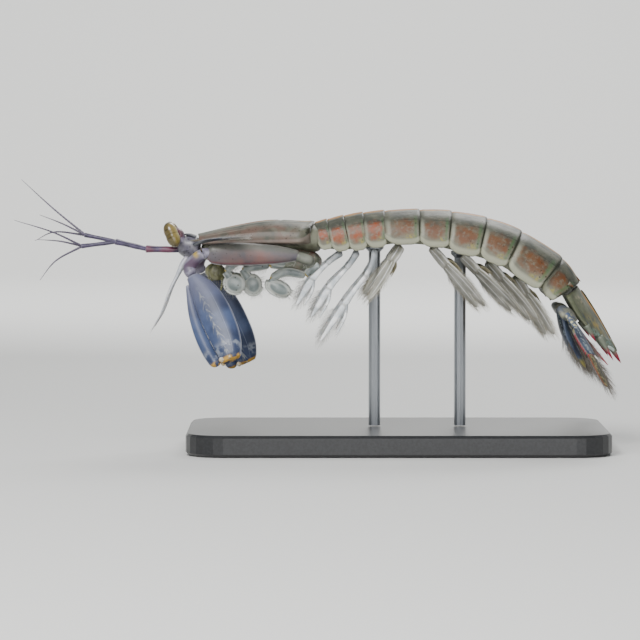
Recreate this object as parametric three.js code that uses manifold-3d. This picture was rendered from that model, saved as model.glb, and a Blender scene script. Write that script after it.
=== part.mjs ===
// A mantis shrimp of the slender, spearing kind, life size, held over a plain stand.
// Lengths are millimetres. The head points to -X, up is +Z and the animal's left side is -Y.
// The origin is the centre of the underside of the stand's base.

import * as THREE from 'three';
import { mergeVertices } from 'three/addons/utils/BufferGeometryUtils.js';
import Module from 'manifold-3d';

const wasm = await Module();
wasm.setup();

// Driving dimensions
const GAP = 0.3;
const SOMITE_GAP = 0.4;
const BACK_LINE = [
  [-20, 54], [-10, 56.1], [2, 57], [14, 56.5], [26, 53.6], [36, 48], [40.6, 44.2], [43.6, 39.4],
];
const SOMITES = [
  { name: 'thorax_5', length: 2.8, halfWidth: 7.1, depth: 7.0 },
  { name: 'thorax_6', length: 4.0, halfWidth: 8.1, depth: 8.2 },
  { name: 'thorax_7', length: 4.6, halfWidth: 8.3, depth: 8.8 },
  { name: 'thorax_8', length: 5.0, halfWidth: 9.1, depth: 8.6 },
  { name: 'abdomen_1', length: 8.2, halfWidth: 11.3, depth: 8.2 },
  { name: 'abdomen_2', length: 7.5, halfWidth: 11.9, depth: 8.8 },
  { name: 'abdomen_3', length: 8.4, halfWidth: 12.4, depth: 9.8 },
  { name: 'abdomen_4', length: 8.8, halfWidth: 12.75, depth: 10.0 },
  { name: 'abdomen_5', length: 11.4, halfWidth: 12.9, depth: 10.2 },
  { name: 'abdomen_6', length: 7.7, halfWidth: 11.2, depth: 9.0 },
];
const CARAPACE = {
  front: -47.6,
  rear: -20.3,
  frontHalfWidth: 5.2,
  rearHalfWidth: 10.4,
  underside: 48.6,
  frontEdge: 49.2,
  rearEdge: 49.9,
  top: [[-47.6, 51], [-39, 53], [-31, 54.3], [-20.3, 54]],
};
const EYE = { centre: [-53.7, 4.0, 51.0], axis: [-2.4, -1.5, 5.7], length: 6.3, radius: 1.65 };
const CLAW = { length: 24.5, thickness: 4.0, grooveWidth: 1.4, grooveDepth: 2.4, teeth: 6 };
const TELSON = { halfWidth: 10.9, arch: 3.2, thickness: 2.0, top: -0.6, denticleWidth: 10.2 };
const STAND = { length: 100, width: 56, height: 5, corner: 9, bevel: 0.6, rodRadius: 1.4, cupRadius: 2.2 };

// How finely the round forms are cut into flat faces
const SOMITE_SIDES = 20;
const CARAPACE_SIDES = 24;
const EYE_SIDES = 12;
const HAND_SIDES = 12;
const FINGER_SIDES = 6;
const HAND_RINGS = 8;
const FINGER_RINGS = 6;

const SIDES = [['left', -1], ['right', 1]];
const TURN = 2 * Math.PI;
const at = (x, y, z) => new THREE.Vector3(x, y, z);
const lerp = THREE.MathUtils.lerp;

// A repeatable random draw, so that the bristles vary the same way each time
let seed = 11;
function random() {
  seed = (seed * 16807) % 2147483647;
  return seed / 2147483647;
}

// A value that runs straight between evenly spaced ones as t goes from 0 to 1
function sampler(values) {
  return (t) => {
    const place = THREE.MathUtils.clamp(t, 0, 1) * (values.length - 1);
    const index = Math.min(Math.floor(place), values.length - 2);
    return lerp(values[index], values[index + 1], place - index);
  };
}

// A value that runs straight between [place, value] pairs
function steps(pairs) {
  return (place) => {
    const next = Math.max(1, pairs.findIndex(([start]) => start >= place));
    const [from, to] = [pairs[next - 1], pairs[next]];
    return lerp(from[1], to[1], (place - from[0]) / (to[0] - from[0]));
  };
}

const rounded = (value, power) => Math.sign(value) * Math.abs(value) ** power;

// Solid building

// A closed geometry with its faces turned outwards
function closed(points, faces) {
  let volume = 0;
  for (let i = 0; i < faces.length; i += 3) {
    const [a, b, c] = [points[faces[i]], points[faces[i + 1]], points[faces[i + 2]]];
    volume += a.dot(b.clone().cross(c));
  }
  const geometry = new THREE.BufferGeometry().setFromPoints(points);
  return geometry.setIndex(volume < 0 ? faces.reverse() : faces);
}

// A skin over rings of points. The second half of each ring mirrors the first half's
// diagonals, so both faces of a thin blade are split alike.
function loft(rings) {
  const count = rings[0].length;
  const points = rings.flat();
  const last = points.length - count;
  const faces = [];
  for (let row = 0; row < last; row += count) {
    for (let i = 0; i < count; i++) {
      const a = row + i;
      const b = row + ((i + 1) % count);
      if (i < count / 2) {
        faces.push(a, b, b + count, a, b + count, a + count);
      } else {
        faces.push(a, b, a + count, b, b + count, a + count);
      }
    }
  }
  for (const first of [0, last]) {
    const centre = at(0, 0, 0);
    for (let i = 0; i < count; i++) {
      const a = first + i;
      const b = first + ((i + 1) % count);
      centre.addScaledVector(points[a], 1 / count);
      faces.push(...(first === 0 ? [b, a] : [a, b]), points.length);
    }
    points.push(centre);
  }
  return closed(points, faces);
}

function solidOf(geometry) {
  const bare = geometry.clone();
  bare.deleteAttribute('normal');
  bare.deleteAttribute('uv');
  const merged = mergeVertices(bare, 1e-4);
  return new wasm.Manifold(new wasm.Mesh({
    numProp: 3,
    vertProperties: merged.attributes.position.array,
    triVerts: Uint32Array.from(merged.index.array),
  }));
}

// The pieces joined, less the cuts, as the largest closed body that is left
function fuse(pieces, cuts = []) {
  let solid = solidOf(pieces[0]);
  for (const piece of pieces.slice(1)) {
    solid = solid.add(solidOf(piece));
  }
  for (const cut of cuts) {
    solid = solid.subtract(solidOf(cut));
  }
  const largest = solid.decompose().reduce((a, b) => (b.volume() > a.volume() ? b : a));
  const mesh = largest.getMesh();
  const geometry = new THREE.BufferGeometry();
  geometry.setAttribute('position', new THREE.BufferAttribute(mesh.vertProperties, 3));
  return geometry.setIndex(Array.from(mesh.triVerts));
}

// A cone whose root is sunk into what it grows from
function spine(root, tip, radius, sides = 3, sunk = 0.8) {
  const along = tip.clone().sub(root);
  const length = along.length() + sunk;
  const cone = new THREE.ConeGeometry(radius, length, sides);
  cone.translate(0, length / 2 - sunk, 0);
  cone.applyQuaternion(new THREE.Quaternion().setFromUnitVectors(at(0, 1, 0), along.normalize()));
  return cone.translate(root.x, root.y, root.z);
}

function ellipsoid(centre, radii, turn = 0) {
  const ball = new THREE.SphereGeometry(1, 8, 6).scale(...radii).rotateY(turn);
  return ball.translate(centre.x, centre.y, centre.z);
}

// A limb or blade swept along a curve, with its width along the across direction
class Limb {
  constructor({ points, across, widths, depths = widths, sideways = [0, 0], square = 1, rings, sides = 8 }) {
    this.curve = new THREE.CatmullRomCurve3(points, false, 'centripetal');
    this.width = sampler(widths);
    this.depth = sampler(depths);
    this.offset = sampler(sideways);
    Object.assign(this, { across, sides, rings, square });
  }

  frame(t) {
    const along = this.curve.getTangentAt(t);
    const across = this.across.clone().addScaledVector(along, -this.across.dot(along)).normalize();
    const point = this.curve.getPointAt(t).addScaledVector(across, this.offset(t));
    return { point, along, across, normal: along.clone().cross(across) };
  }

  // The point at an angle round the section, where angle 0 is the edge on the across side
  surface(t, angle, lift = 0) {
    const { point, across, normal } = this.frame(t);
    point.addScaledVector(across, (this.width(t) / 2 + lift) * rounded(Math.cos(angle), this.square));
    return point.addScaledVector(normal, (this.depth(t) / 2 + lift) * rounded(Math.sin(angle), this.square));
  }

  get geometry() {
    const rings = [];
    for (let ring = 0; ring <= this.rings; ring++) {
      const turns = Array.from({ length: this.sides }, (_, i) => (TURN * i) / this.sides);
      rings.push(turns.map((angle) => this.surface(ring / this.rings, angle)));
    }
    return loft(rings);
  }
}

// Bristles along one edge of a blade, leaning more towards its tip as they near it
function fringe(blade, { from, to, count, side, length, lean = [0.4, 0.4], radius = 0.32 }) {
  const bristles = [];
  for (let i = 0; i < count; i++) {
    const share = (i + 0.5) / count;
    const t = lerp(from, to, share);
    const angle = lerp(lean[0], lean[1], share);
    const { along, across } = blade.frame(t);
    const root = blade.surface(t, side > 0 ? 0 : Math.PI);
    const way = across.multiplyScalar(side * Math.cos(angle)).addScaledVector(along, Math.sin(angle));
    const tip = root.clone().addScaledVector(way, length * (0.85 + 0.3 * random()));
    bristles.push(spine(root, tip, radius));
  }
  return bristles;
}

// Materials
const paint = (color, roughness = 0.35) => new THREE.MeshStandardMaterial({ color, roughness, metalness: 0 });
const MATERIALS = {
  shell: paint(0x9b9a82),
  head: paint(0x8f8a86),
  flesh: paint(0xb9bdb4, 0.45),
  mouth: paint(0x8c8b5c, 0.5),
  eye: paint(0xd8c860, 0.1),
  feeler: paint(0x6a5a86),
  pale: paint(0xe6e8ea),
  claw: paint(0x6478a8, 0.2),
  limb: paint(0xd9dedc, 0.3),
  tail: paint(0x8fa08c),
  fan: paint(0x4f6ea0),
  swimmeret: paint(0xb8ae98, 0.45),
  base: paint(0x2b2b2e, 0.4),
  rod: new THREE.MeshStandardMaterial({ color: 0xb8bcc0, roughness: 0.3, metalness: 1 }),
};

const model = new THREE.Group();

// A node placed by its root, the point where it meets what carries it
function part(name, geometry, material, root = at(0, 0, 0)) {
  const mesh = new THREE.Mesh(geometry.translate(-root.x, -root.y, -root.z), MATERIALS[material]);
  mesh.name = name;
  mesh.position.copy(root);
  model.add(mesh);
}

// Trunk
const backLine = new THREE.CatmullRomCurve3(
  BACK_LINE.map(([x, z]) => at(x, 0, z)), false, 'centripetal');
const trunkLength = backLine.getLength();
const somiteScale = trunkLength / SOMITES.reduce((sum, { length }) => sum + length, 0);
let reached = 0;
for (const somite of SOMITES) {
  somite.start = reached;
  reached += somite.length * somiteScale;
  somite.end = reached - SOMITE_GAP;
}

function trunkFrame(distance) {
  const along = backLine.getTangentAt(distance / trunkLength);
  return { point: backLine.getPointAt(distance / trunkLength), along, up: at(-along.z, 0, along.x) };
}

// The height under the back line of the somite's lower face
function bellyDrop({ halfWidth, depth }, y) {
  const rise = Math.sqrt(1 - (Math.abs(y) / halfWidth) ** 2.5);
  return depth * (0.86 + 0.14 * Math.sin(Math.PI * rise ** 0.6));
}

// A point just under a somite, t of the way along it
function underSomite(somite, t, y, gap = GAP) {
  const { point, up } = trunkFrame(lerp(somite.start, somite.end, t));
  return point.addScaledVector(up, -bellyDrop(somite, y) - gap).setY(y);
}

const somiteNamed = (name) => SOMITES.find((somite) => somite.name === name);

// A somite's section is drawn at these shares of its length, wider or lower by these amounts
const RING_PLACES = [0, 0.12, 0.5, 0.94, 1];
const RING_SWELL = [0.93, 0.98, 1, 1.015, 0.985];
const RING_SINK = [0.45, 0.1, 0, -0.1, 0.1];

function somiteRing(somite, index) {
  const { point, up } = trunkFrame(lerp(somite.start, somite.end, RING_PLACES[index]));
  const ring = [];
  for (let i = 0; i < SOMITE_SIDES; i++) {
    const angle = (TURN * i) / SOMITE_SIDES;
    const y = somite.halfWidth * rounded(Math.cos(angle), 0.8) * RING_SWELL[index];
    const rise = Math.abs(Math.sin(angle));
    const drop = i <= SOMITE_SIDES / 2
      ? 0.86 * somite.depth * (1 - rise ** 0.9)
      : somite.depth * (0.86 + 0.14 * Math.sin(Math.PI * rise ** 0.6));
    ring.push(point.clone().addScaledVector(up, -drop * RING_SWELL[index] - RING_SINK[index]).setY(y));
  }
  return ring;
}

// The last somite ends in four short spines, the outer pair lower on its flanks
const REAR_SPINES = [{ y: 3.4, drop: 0.3 }, { y: 9.6, drop: 2.6 }];
for (const somite of SOMITES) {
  const pieces = [loft(RING_PLACES.map((_, index) => somiteRing(somite, index)))];
  if (somite.name === 'abdomen_6') {
    const { point, along, up } = trunkFrame(somite.end);
    const onSide = (side) => REAR_SPINES.map(({ y, drop }) => ({ y: side * y, drop }));
    const spines = [...onSide(-1), ...onSide(1)];
    for (const { y, drop } of spines) {
      const root = point.clone().addScaledVector(up, -drop).addScaledVector(along, -1.2).setY(y);
      const tip = root.clone().addScaledVector(along, 1.2).addScaledVector(up, 0.5);
      pieces.push(spine(root, tip, 0.5, 4, 0.4));
    }
  }
  part(somite.name, fuse(pieces), 'shell', trunkFrame(somite.start).point);
}

// Carapace, with its rounded rear corners and front corner spines
const carapaceTop = new THREE.CatmullRomCurve3(
  CARAPACE.top.map(([x, z]) => at(x, 0, z)), false, 'centripetal');

function carapaceRing(t) {
  const { front, rear, frontHalfWidth, rearHalfWidth, underside, frontEdge, rearEdge } = CARAPACE;
  const top = carapaceTop.getPointAt(t);
  const x = lerp(front, rear, t);
  const rearTaper = 1 - 6 * Math.max(0, t - 0.9) ** 1.6;
  const halfWidth = lerp(frontHalfWidth, rearHalfWidth, t ** 0.85) * rearTaper;
  const edge = lerp(frontEdge, rearEdge, t);
  const ring = [];
  for (let i = 0; i < CARAPACE_SIDES; i++) {
    const angle = (TURN * i) / CARAPACE_SIDES;
    const rise = Math.abs(Math.sin(angle));
    const y = halfWidth * rounded(Math.cos(angle), 0.85);
    const z = i <= CARAPACE_SIDES / 2 ? lerp(edge, top.z, rise ** 0.85) : lerp(edge, underside, rise ** 0.5);
    const corner = 2.4 * Math.max(0, Math.abs(y) / halfWidth - 0.35) * Math.max(0, t - 0.5);
    ring.push(at(x - corner, y, z));
  }
  return ring;
}

const carapacePlaces = [0, 0.08, 0.3, 0.6, 0.82, 0.93, 1];
const carapace = [loft(carapacePlaces.map(carapaceRing))];
for (const [, side] of SIDES) {
  const root = at(CARAPACE.front + 0.6, side * (CARAPACE.frontHalfWidth - 0.8), 49.7);
  carapace.push(spine(root, at(root.x - 2.4, root.y + side * 0.5, 49.6), 0.55, 5));
}
part('carapace', fuse(carapace), 'shell', at(CARAPACE.front, 0, 50));

const rostralPlate = new Limb({
  points: [at(CARAPACE.front - GAP - 0.1, 0, 50.3), at(-49.4, 0, 50.8), at(-50.9, 0, 51.0)],
  across: at(0, 1, 0),
  widths: [4.4, 4.2, 3.6, 2.4, 1.0],
  depths: [0.9, 0.8, 0.7],
  rings: 4,
});
part('rostral_plate', rostralPlate.geometry, 'shell', at(CARAPACE.front - GAP, 0, 50.3));

// Underbody, that carries the mouthparts and the first limbs
const underbody = new Limb({
  points: [at(-47, 0, 46.3), at(-40, 0, 46.4), at(-31, 0, 46.4), at(-24, 0, 45.3), at(-18, 0, 44.2)],
  across: at(0, 1, 0),
  widths: [6.4, 7.4, 8.0, 10.0, 10.4],
  depths: [2.8, 3.4, 3.6, 5.4, 4.2],
  sides: 14,
  rings: 8,
  square: 0.8,
});
part('cephalothorax', underbody.geometry, 'flesh', at(-40, 0, 46.4));

// Mouthparts: labrum, mandibles and the slender first limbs behind them
const mouth = [ellipsoid(at(-43.6, 0, 42.2), [2.4, 2.3, 2.0])];
for (const [, side] of SIDES) {
  mouth.push(ellipsoid(at(-43.0, side * 1.7, 41.9), [2.0, 1.5, 1.9], 0.3));
  mouth.push(new Limb({
    points: [at(-42.4, side * 1.9, 42.2), at(-41.6, side * 2.2, 40.2), at(-42.2, side * 2.0, 37.6)],
    across: at(1, 0, 0),
    widths: [1.3, 1.1, 0.8, 0.5],
    rings: 3,
    sides: 4,
  }).geometry);
}
part('mouthparts', fuse(mouth), 'mouth', at(-43.6, 0, 44));

// Head, with the eyestalks and the sharp processes under them
const eyeAxis = at(...EYE.axis).normalize();
const head = [new Limb({
  points: [at(-48.1, 0, 46.7), at(-49.6, 0, 47), at(-51.3, 0, 47.3), at(-52.6, 0, 47.5)],
  across: at(0, 1, 0),
  widths: [6.6, 7.2, 6.0, 3.8],
  depths: [3.6, 4.6, 4.2, 2.4],
  sides: 12,
  rings: 5,
  square: 0.9,
}).geometry];
for (const [name, side] of SIDES) {
  const mirror = at(1, side, 1);
  const centre = at(...EYE.centre).multiply(mirror);
  const axis = eyeAxis.clone().multiply(mirror);
  const neck = at(-50.6, side * 2.1, 47.8);
  const back = neck.clone().sub(centre);
  back.addScaledVector(axis, -back.dot(axis)).normalize();
  const seat = centre.clone().addScaledVector(back, EYE.radius + GAP + 0.15);
  const behind = seat.clone().addScaledVector(back, 0.8);
  head.push(new Limb({
    points: [neck, behind, seat],
    across: axis,
    widths: [1.9, 2.0, 3.2],
    depths: [1.7, 1.7, 2.2],
    rings: 3,
    sides: 6,
  }).geometry);
  head.push(spine(at(-49.6, side * 3.0, 47.4), at(-51.6, side * 4.1, 47.2), 0.6, 5));

  // The eye is two lobes with a faint waist between them
  const other = axis.clone().cross(back);
  const rings = [];
  for (let ring = 0; ring <= 8; ring++) {
    const along = -Math.cos(Math.PI * lerp(0.04, 0.96, ring / 8));
    const waist = 1 - 0.09 * Math.exp(-((along / 0.22) ** 2));
    const radius = EYE.radius * waist * Math.sqrt(1 - Math.abs(along) ** 2.6);
    const middle = centre.clone().addScaledVector(axis, (along * EYE.length) / 2);
    rings.push(Array.from({ length: EYE_SIDES }, (_, i) => middle.clone()
      .addScaledVector(back, radius * Math.cos((TURN * i) / EYE_SIDES))
      .addScaledVector(other, radius * Math.sin((TURN * i) / EYE_SIDES))));
  }
  part(`eye_${name}`, loft(rings), 'eye', centre);
}
part('head', fuse(head), 'head', at(-47.9, 0, 47));

// Antennules: three articles and three whips each
const WHIPS = {
  left: [
    [[-81.8, -5.2, 51.6], [-90.7, -9.5, 54.6]],
    [[-81.3, -5.4, 44.8], [-84.8, -8.6, 40.4]],
    [[-80.6, -1.6, 49.4], [-86.0, -1.8, 49.8]],
  ],
  right: [
    [[-82.5, 5.2, 57.0], [-90.6, 11.0, 63.9]],
    [[-82.3, 4.6, 51.4], [-87.2, 8.4, 49.2]],
    [[-80.4, 1.8, 53.6], [-85.6, 2.0, 55.6]],
  ],
};
for (const [name, side] of SIDES) {
  const tip = name === 'left' ? at(-75.5, -2.4, 48.2) : at(-75.0, 2.4, 50.8);
  const root = at(-53.1, side * 1.15, 47.4);
  const joints = [root, at(-59.8, side * 1.3, 47.5), at(-67.1, side * 1.7, 49.2), tip];
  const pieces = joints.slice(1).map((end, index) => {
    const start = joints[index];
    const width = [1.5, 1.2, 1.0][index];
    const overlap = end.clone().sub(start).normalize().multiplyScalar(index === 2 ? 0 : 0.4);
    return new Limb({
      points: [start, end.clone().add(overlap)],
      across: at(0, 1, 0),
      widths: [width * 0.8, width, width * 0.95, width * 1.15],
      rings: 3,
      sides: 6,
    }).geometry;
  });
  for (const whip of WHIPS[name]) {
    const [middle, end] = whip.map((place) => at(...place));
    const fork = tip.clone().lerp(joints[2], 0.05);
    pieces.push(new Limb({
      points: [fork, middle, end],
      across: at(0, 1, 0),
      widths: [0.75, 0.6, 0.5],
      rings: 4,
      sides: 4,
    }).geometry);
  }
  part(`antennule_${name}`, fuse(pieces), 'feeler', root);
}

// Antennae: a short stalk and a flat pale whip
for (const [name, side] of SIDES) {
  const root = at(-49.8, side * 4.9, 45.7);
  const path = [root, at(-50.8, side * 5.2, 44.6), at(-52.4, side * 5.9, 41.4), at(-53.9, side * 6.8, 38.4),
    at(-56.1, side * 8.4, 32.5), at(-58.3, side * 9.6, 28.6)];
  const whip = new Limb({
    points: path,
    across: at(0, 1, 0.2),
    widths: [1.7, 1.6, 1.1, 1.2, 1.3, 1.1, 0.8, 0.5],
    depths: [1.5, 1.3, 0.8, 0.8, 0.7, 0.6, 0.5, 0.5],
    rings: 10,
    sides: 6,
  });
  part(`antenna_${name}`, whip.geometry, 'pale', root);
}

// Antennal scales: flat paddles, fringed along the inner and rear edge
for (const [name, side] of SIDES) {
  const root = at(-48.4, side * 6.0, 48.7);
  const blade = new Limb({
    points: [root, at(-46.2, side * 8.3, 49.5), at(-41.5, side * 13.0, 50.4), at(-37.2, side * 17.2, 50.8)],
    across: at(1, -side, 0),
    widths: [1.4, 2.6, 4.8, 5.4, 5.2, 3.8, 1.2],
    depths: [0.9, 0.7, 0.6],
    rings: 7,
    sides: 6,
  });
  const edge = { side: 1, length: 3.4, radius: 0.34 };
  part(`antennal_scale_${name}`, fuse([
    blade.geometry,
    ...fringe(blade, { ...edge, from: 0.42, to: 0.97, count: 6, lean: [0.5, 0.9] }),
    ...fringe(blade, { ...edge, from: 0.99, to: 0.8, count: 3, side: -1, lean: [1.3, 0.6] }),
  ]), 'pale', root);
}

// Great claws: a long arm carried beside the carapace, a broad hand and a toothed finger
const CLAW_POSE = {
  left: { wrist: [-48.5, -11.2, 41.4], way: [0.349, -0.504, -0.79] },
  right: { wrist: [-46.9, 10.9, 41.2], way: [0.408, 0.157, -0.898] },
};
const handMargin = (t) => 1.5 + 0.9 * Math.sin(Math.PI * t);
const handWidth = sampler([3.0, 5.6, 7.0, 7.7, 7.8, 7.5, 6.6, 4.8]);
const fingerWidth = sampler([0.5, 1.0, 1.6, 2.0, 2.3, 2.5, 2.5, 2.2]);

for (const [name, side] of SIDES) {
  const wrist = at(...CLAW_POSE[name].wrist);
  const way = at(...CLAW_POSE[name].way).normalize();
  const forward = at(-0.91, 0, -0.41);
  const across = forward.addScaledVector(way, -forward.dot(way)).normalize();
  const normal = way.clone().cross(across);
  const place = (t, margin, lift = 0) => wrist.clone()
    .addScaledVector(way, CLAW.length * t)
    .addScaledVector(across, margin)
    .addScaledVector(normal, lift);

  const wristTop = wrist.clone().addScaledVector(way, -GAP - 0.1);
  const armPath = [[-23.2, 9.3, 46.3], [-31, 9.7, 46.5], [-40, 10.1, 46.6], [-45.4, 10.3, 46.6]];
  const arm = new Limb({
    points: armPath.map(([x, y, z]) => at(x, side * y, z)),
    across: at(0, 0, 1),
    widths: [1.8, 3.7, 4.6, 5.1, 5.2, 4.0],
    depths: [1.6, 3.2, 4.0, 4.2, 4.0, 3.0],
    sides: 10,
    rings: 7,
    square: 0.9,
  });
  const hip = new Limb({
    points: [at(-20.4, side * 6.7, 44.6), at(-21.6, side * 8.6, 45.2), at(-24.6, side * 9.4, 46.3)],
    across: at(0, 0, 1),
    widths: [3.2, 2.8, 2.4],
    rings: 3,
    sides: 6,
  });
  const carpus = new Limb({
    points: [at(-44.8, side * 10.3, 46.7), at(-47.2, side * 10.5, 46.4), place(-0.12, 0), wristTop],
    across,
    widths: [2.4, 3.4, 3.2, 2.8],
    depths: [2.4, 3.0, 2.6, 2.4],
    rings: 5,
    sides: 6,
  });
  const armPieces = [arm.geometry, hip.geometry, carpus.geometry];
  part(`claw_${name}_arm`, fuse(armPieces), 'head', at(-20.4, side * 6.7, 44.6));

  const rings = [];
  const groove = [];
  for (let ring = 0; ring <= HAND_RINGS; ring++) {
    const t = ring / HAND_RINGS;
    const half = handWidth(t) / 2;
    const thick = (CLAW.thickness / 2) * (0.62 + 0.38 * Math.sin(Math.PI * (0.12 + 0.8 * t)));
    rings.push(Array.from({ length: HAND_SIDES }, (_, i) => place(
      t,
      handMargin(t) - half + half * rounded(Math.cos((TURN * i) / HAND_SIDES), 0.85),
      thick * rounded(Math.sin((TURN * i) / HAND_SIDES), 0.85))));
    if (ring > 0 && ring < HAND_RINGS) {
      const [low, high] = [handMargin(t) - CLAW.grooveDepth, handMargin(t) + 1];
      const wall = CLAW.grooveWidth / 2;
      groove.push([place(t, high, wall), place(t, low, wall), place(t, low, -wall), place(t, high, -wall)]);
    }
  }
  part(`claw_${name}_propodus`, fuse([loft(rings)], [loft(groove)]), 'claw', wrist);

  const finger = [];
  for (let ring = 0; ring <= FINGER_RINGS; ring++) {
    const share = ring / FINGER_RINGS;
    const t = lerp(0.07, 1.0, share);
    const half = fingerWidth(share) / 2;
    const middle = handMargin(t) + GAP + 0.05 + half;
    finger.push(Array.from({ length: FINGER_SIDES }, (_, i) => place(
      t,
      middle + half * Math.cos((TURN * i) / FINGER_SIDES),
      lerp(0.3, 1.1, share) * Math.sin((TURN * i) / FINGER_SIDES))));
  }
  const teeth = [];
  for (let tooth = 0; tooth < CLAW.teeth; tooth++) {
    const t = lerp(0.22, 0.84, tooth / (CLAW.teeth - 1));
    const root = place(t, handMargin(t) + GAP + 0.3);
    teeth.push(spine(root, place(t - 0.03, handMargin(t) - CLAW.grooveDepth + 0.7), 0.3, 4, 0.4));
  }
  part(`claw_${name}_dactylus`, fuse([loft(finger), ...teeth]), 'claw', place(1, handMargin(1) + 1));
}

// Small grasping limbs: a bent arm, a round flat hand and a finger folded on it
const GRASPERS = [
  { name: 'maxilliped_3', arm: [[-36.3, 4.9, 45.6], [-38.9, 5.3, 44.2], [-41.0, 5.4, 42.2]],
    hand: [-38.7, 5.4, 39.4], radii: [2.5, 1.45, 2.3], turn: 0.4 },
  { name: 'maxilliped_4', arm: [[-30.6, 3.1, 43.7], [-34.2, 3.1, 43.3], [-37.1, 3.0, 42.6]],
    hand: [-34.5, 3.0, 39.1], radii: [2.1, 1.4, 2.4], turn: -0.3 },
  { name: 'maxilliped_5', arm: [[-22.0, 4.1, 41.3], [-26.6, 4.5, 42.1], [-30.4, 5.0, 40.4]],
    hand: [-28.3, 5.0, 38.3], radii: [3.1, 1.4, 1.7], turn: 0.45 },
];
for (const { name, arm, hand, radii, turn } of GRASPERS) {
  for (const [sideName, side] of SIDES) {
    const points = arm.map(([x, y, z]) => at(x, side * y, z));
    const centre = at(hand[0], side * hand[1], hand[2]);
    const forearm = new Limb({
      points,
      across: at(0, 0, 1),
      widths: [1.6, 2.1, 2.0, 1.5],
      depths: [1.2, 1.6, 1.3],
      rings: 3,
      sides: 6,
    });
    const wrist = new Limb({
      points: [points[2], points[2].clone().lerp(centre, 0.7)],
      across: at(1, 0, 0),
      widths: [1.5, 2.6],
      depths: [1.3, 1.8],
      rings: 1,
      sides: 6,
    });
    const finger = [];
    for (let i = 0; i <= 5; i++) {
      const angle = lerp(-0.2, 2.6, i / 5);
      const offset = at(-Math.cos(angle) * (radii[0] + 0.1), 0, -Math.sin(angle) * (radii[2] + 0.1));
      finger.push(offset.applyAxisAngle(at(0, 1, 0), turn).add(centre));
    }
    const claw = new Limb({
      points: finger,
      across: at(0, 1, 0),
      widths: [0.9, 0.8, 0.6],
      depths: [0.8, 0.6],
      rings: 5,
      sides: 5,
    });
    part(`${name}_${sideName}`, fuse([
      forearm.geometry,
      wrist.geometry,
      ellipsoid(centre, radii, turn),
      claw.geometry,
    ]), 'flesh', points[0]);
  }
}

// Walking legs: slender, with a broad last article, a side branch and a brush of bristles
const LEGS = [
  { somite: 'thorax_6', rootY: 5.2, points: [[-16.5, 9.5, 44.5], [-20.5, 14.5, 40.5], [-24, 19, 35]] },
  { somite: 'thorax_7', rootY: 5.4, points: [[-11.5, 9, 44], [-16.2, 12.5, 38.8], [-20.6, 16, 32]] },
  { somite: 'thorax_8', rootY: 5.8, points: [[-6.5, 9.2, 43.5], [-11.5, 12, 36.5], [-18.5, 14, 26.2]] },
];
LEGS.forEach(({ somite, rootY, points }, index) => {
  for (const [name, side] of SIDES) {
    const root = underSomite(somiteNamed(somite), 0.5, side * rootY, GAP + 0.9);
    const path = [root, ...points.map(([x, y, z]) => at(x, side * y, z))];
    const leg = new Limb({
      points: path,
      across: at(1, 0, -0.4),
      widths: [1.6, 1.2, 1.0, 1.3, 1.5, 1.2, 0.7],
      depths: [1.3, 1.0, 0.9, 1.0, 0.9, 0.8, 0.6],
      rings: 8,
      sides: 6,
    });
    const fork = leg.frame(0.58);
    const branchPoint = (along, across) => fork.point.clone()
      .addScaledVector(fork.along, along)
      .addScaledVector(fork.across, across);
    const branch = new Limb({
      points: [fork.point, branchPoint(3, 1.6), branchPoint(8, 2.4)],
      across: fork.across,
      widths: [0.8, 0.7, 0.5],
      rings: 3,
      sides: 4,
    });
    const brush = { from: 0.84, to: 1.0, count: 2, length: 2.8, lean: [0.9, 1.4], radius: 0.3 };
    part(`leg_${index + 1}_${name}`, fuse([
      leg.geometry,
      branch.geometry,
      ...fringe(leg, { ...brush, side: 1 }),
      ...fringe(leg, { ...brush, side: -1 }),
    ]), 'limb', root);
  }
});

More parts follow.
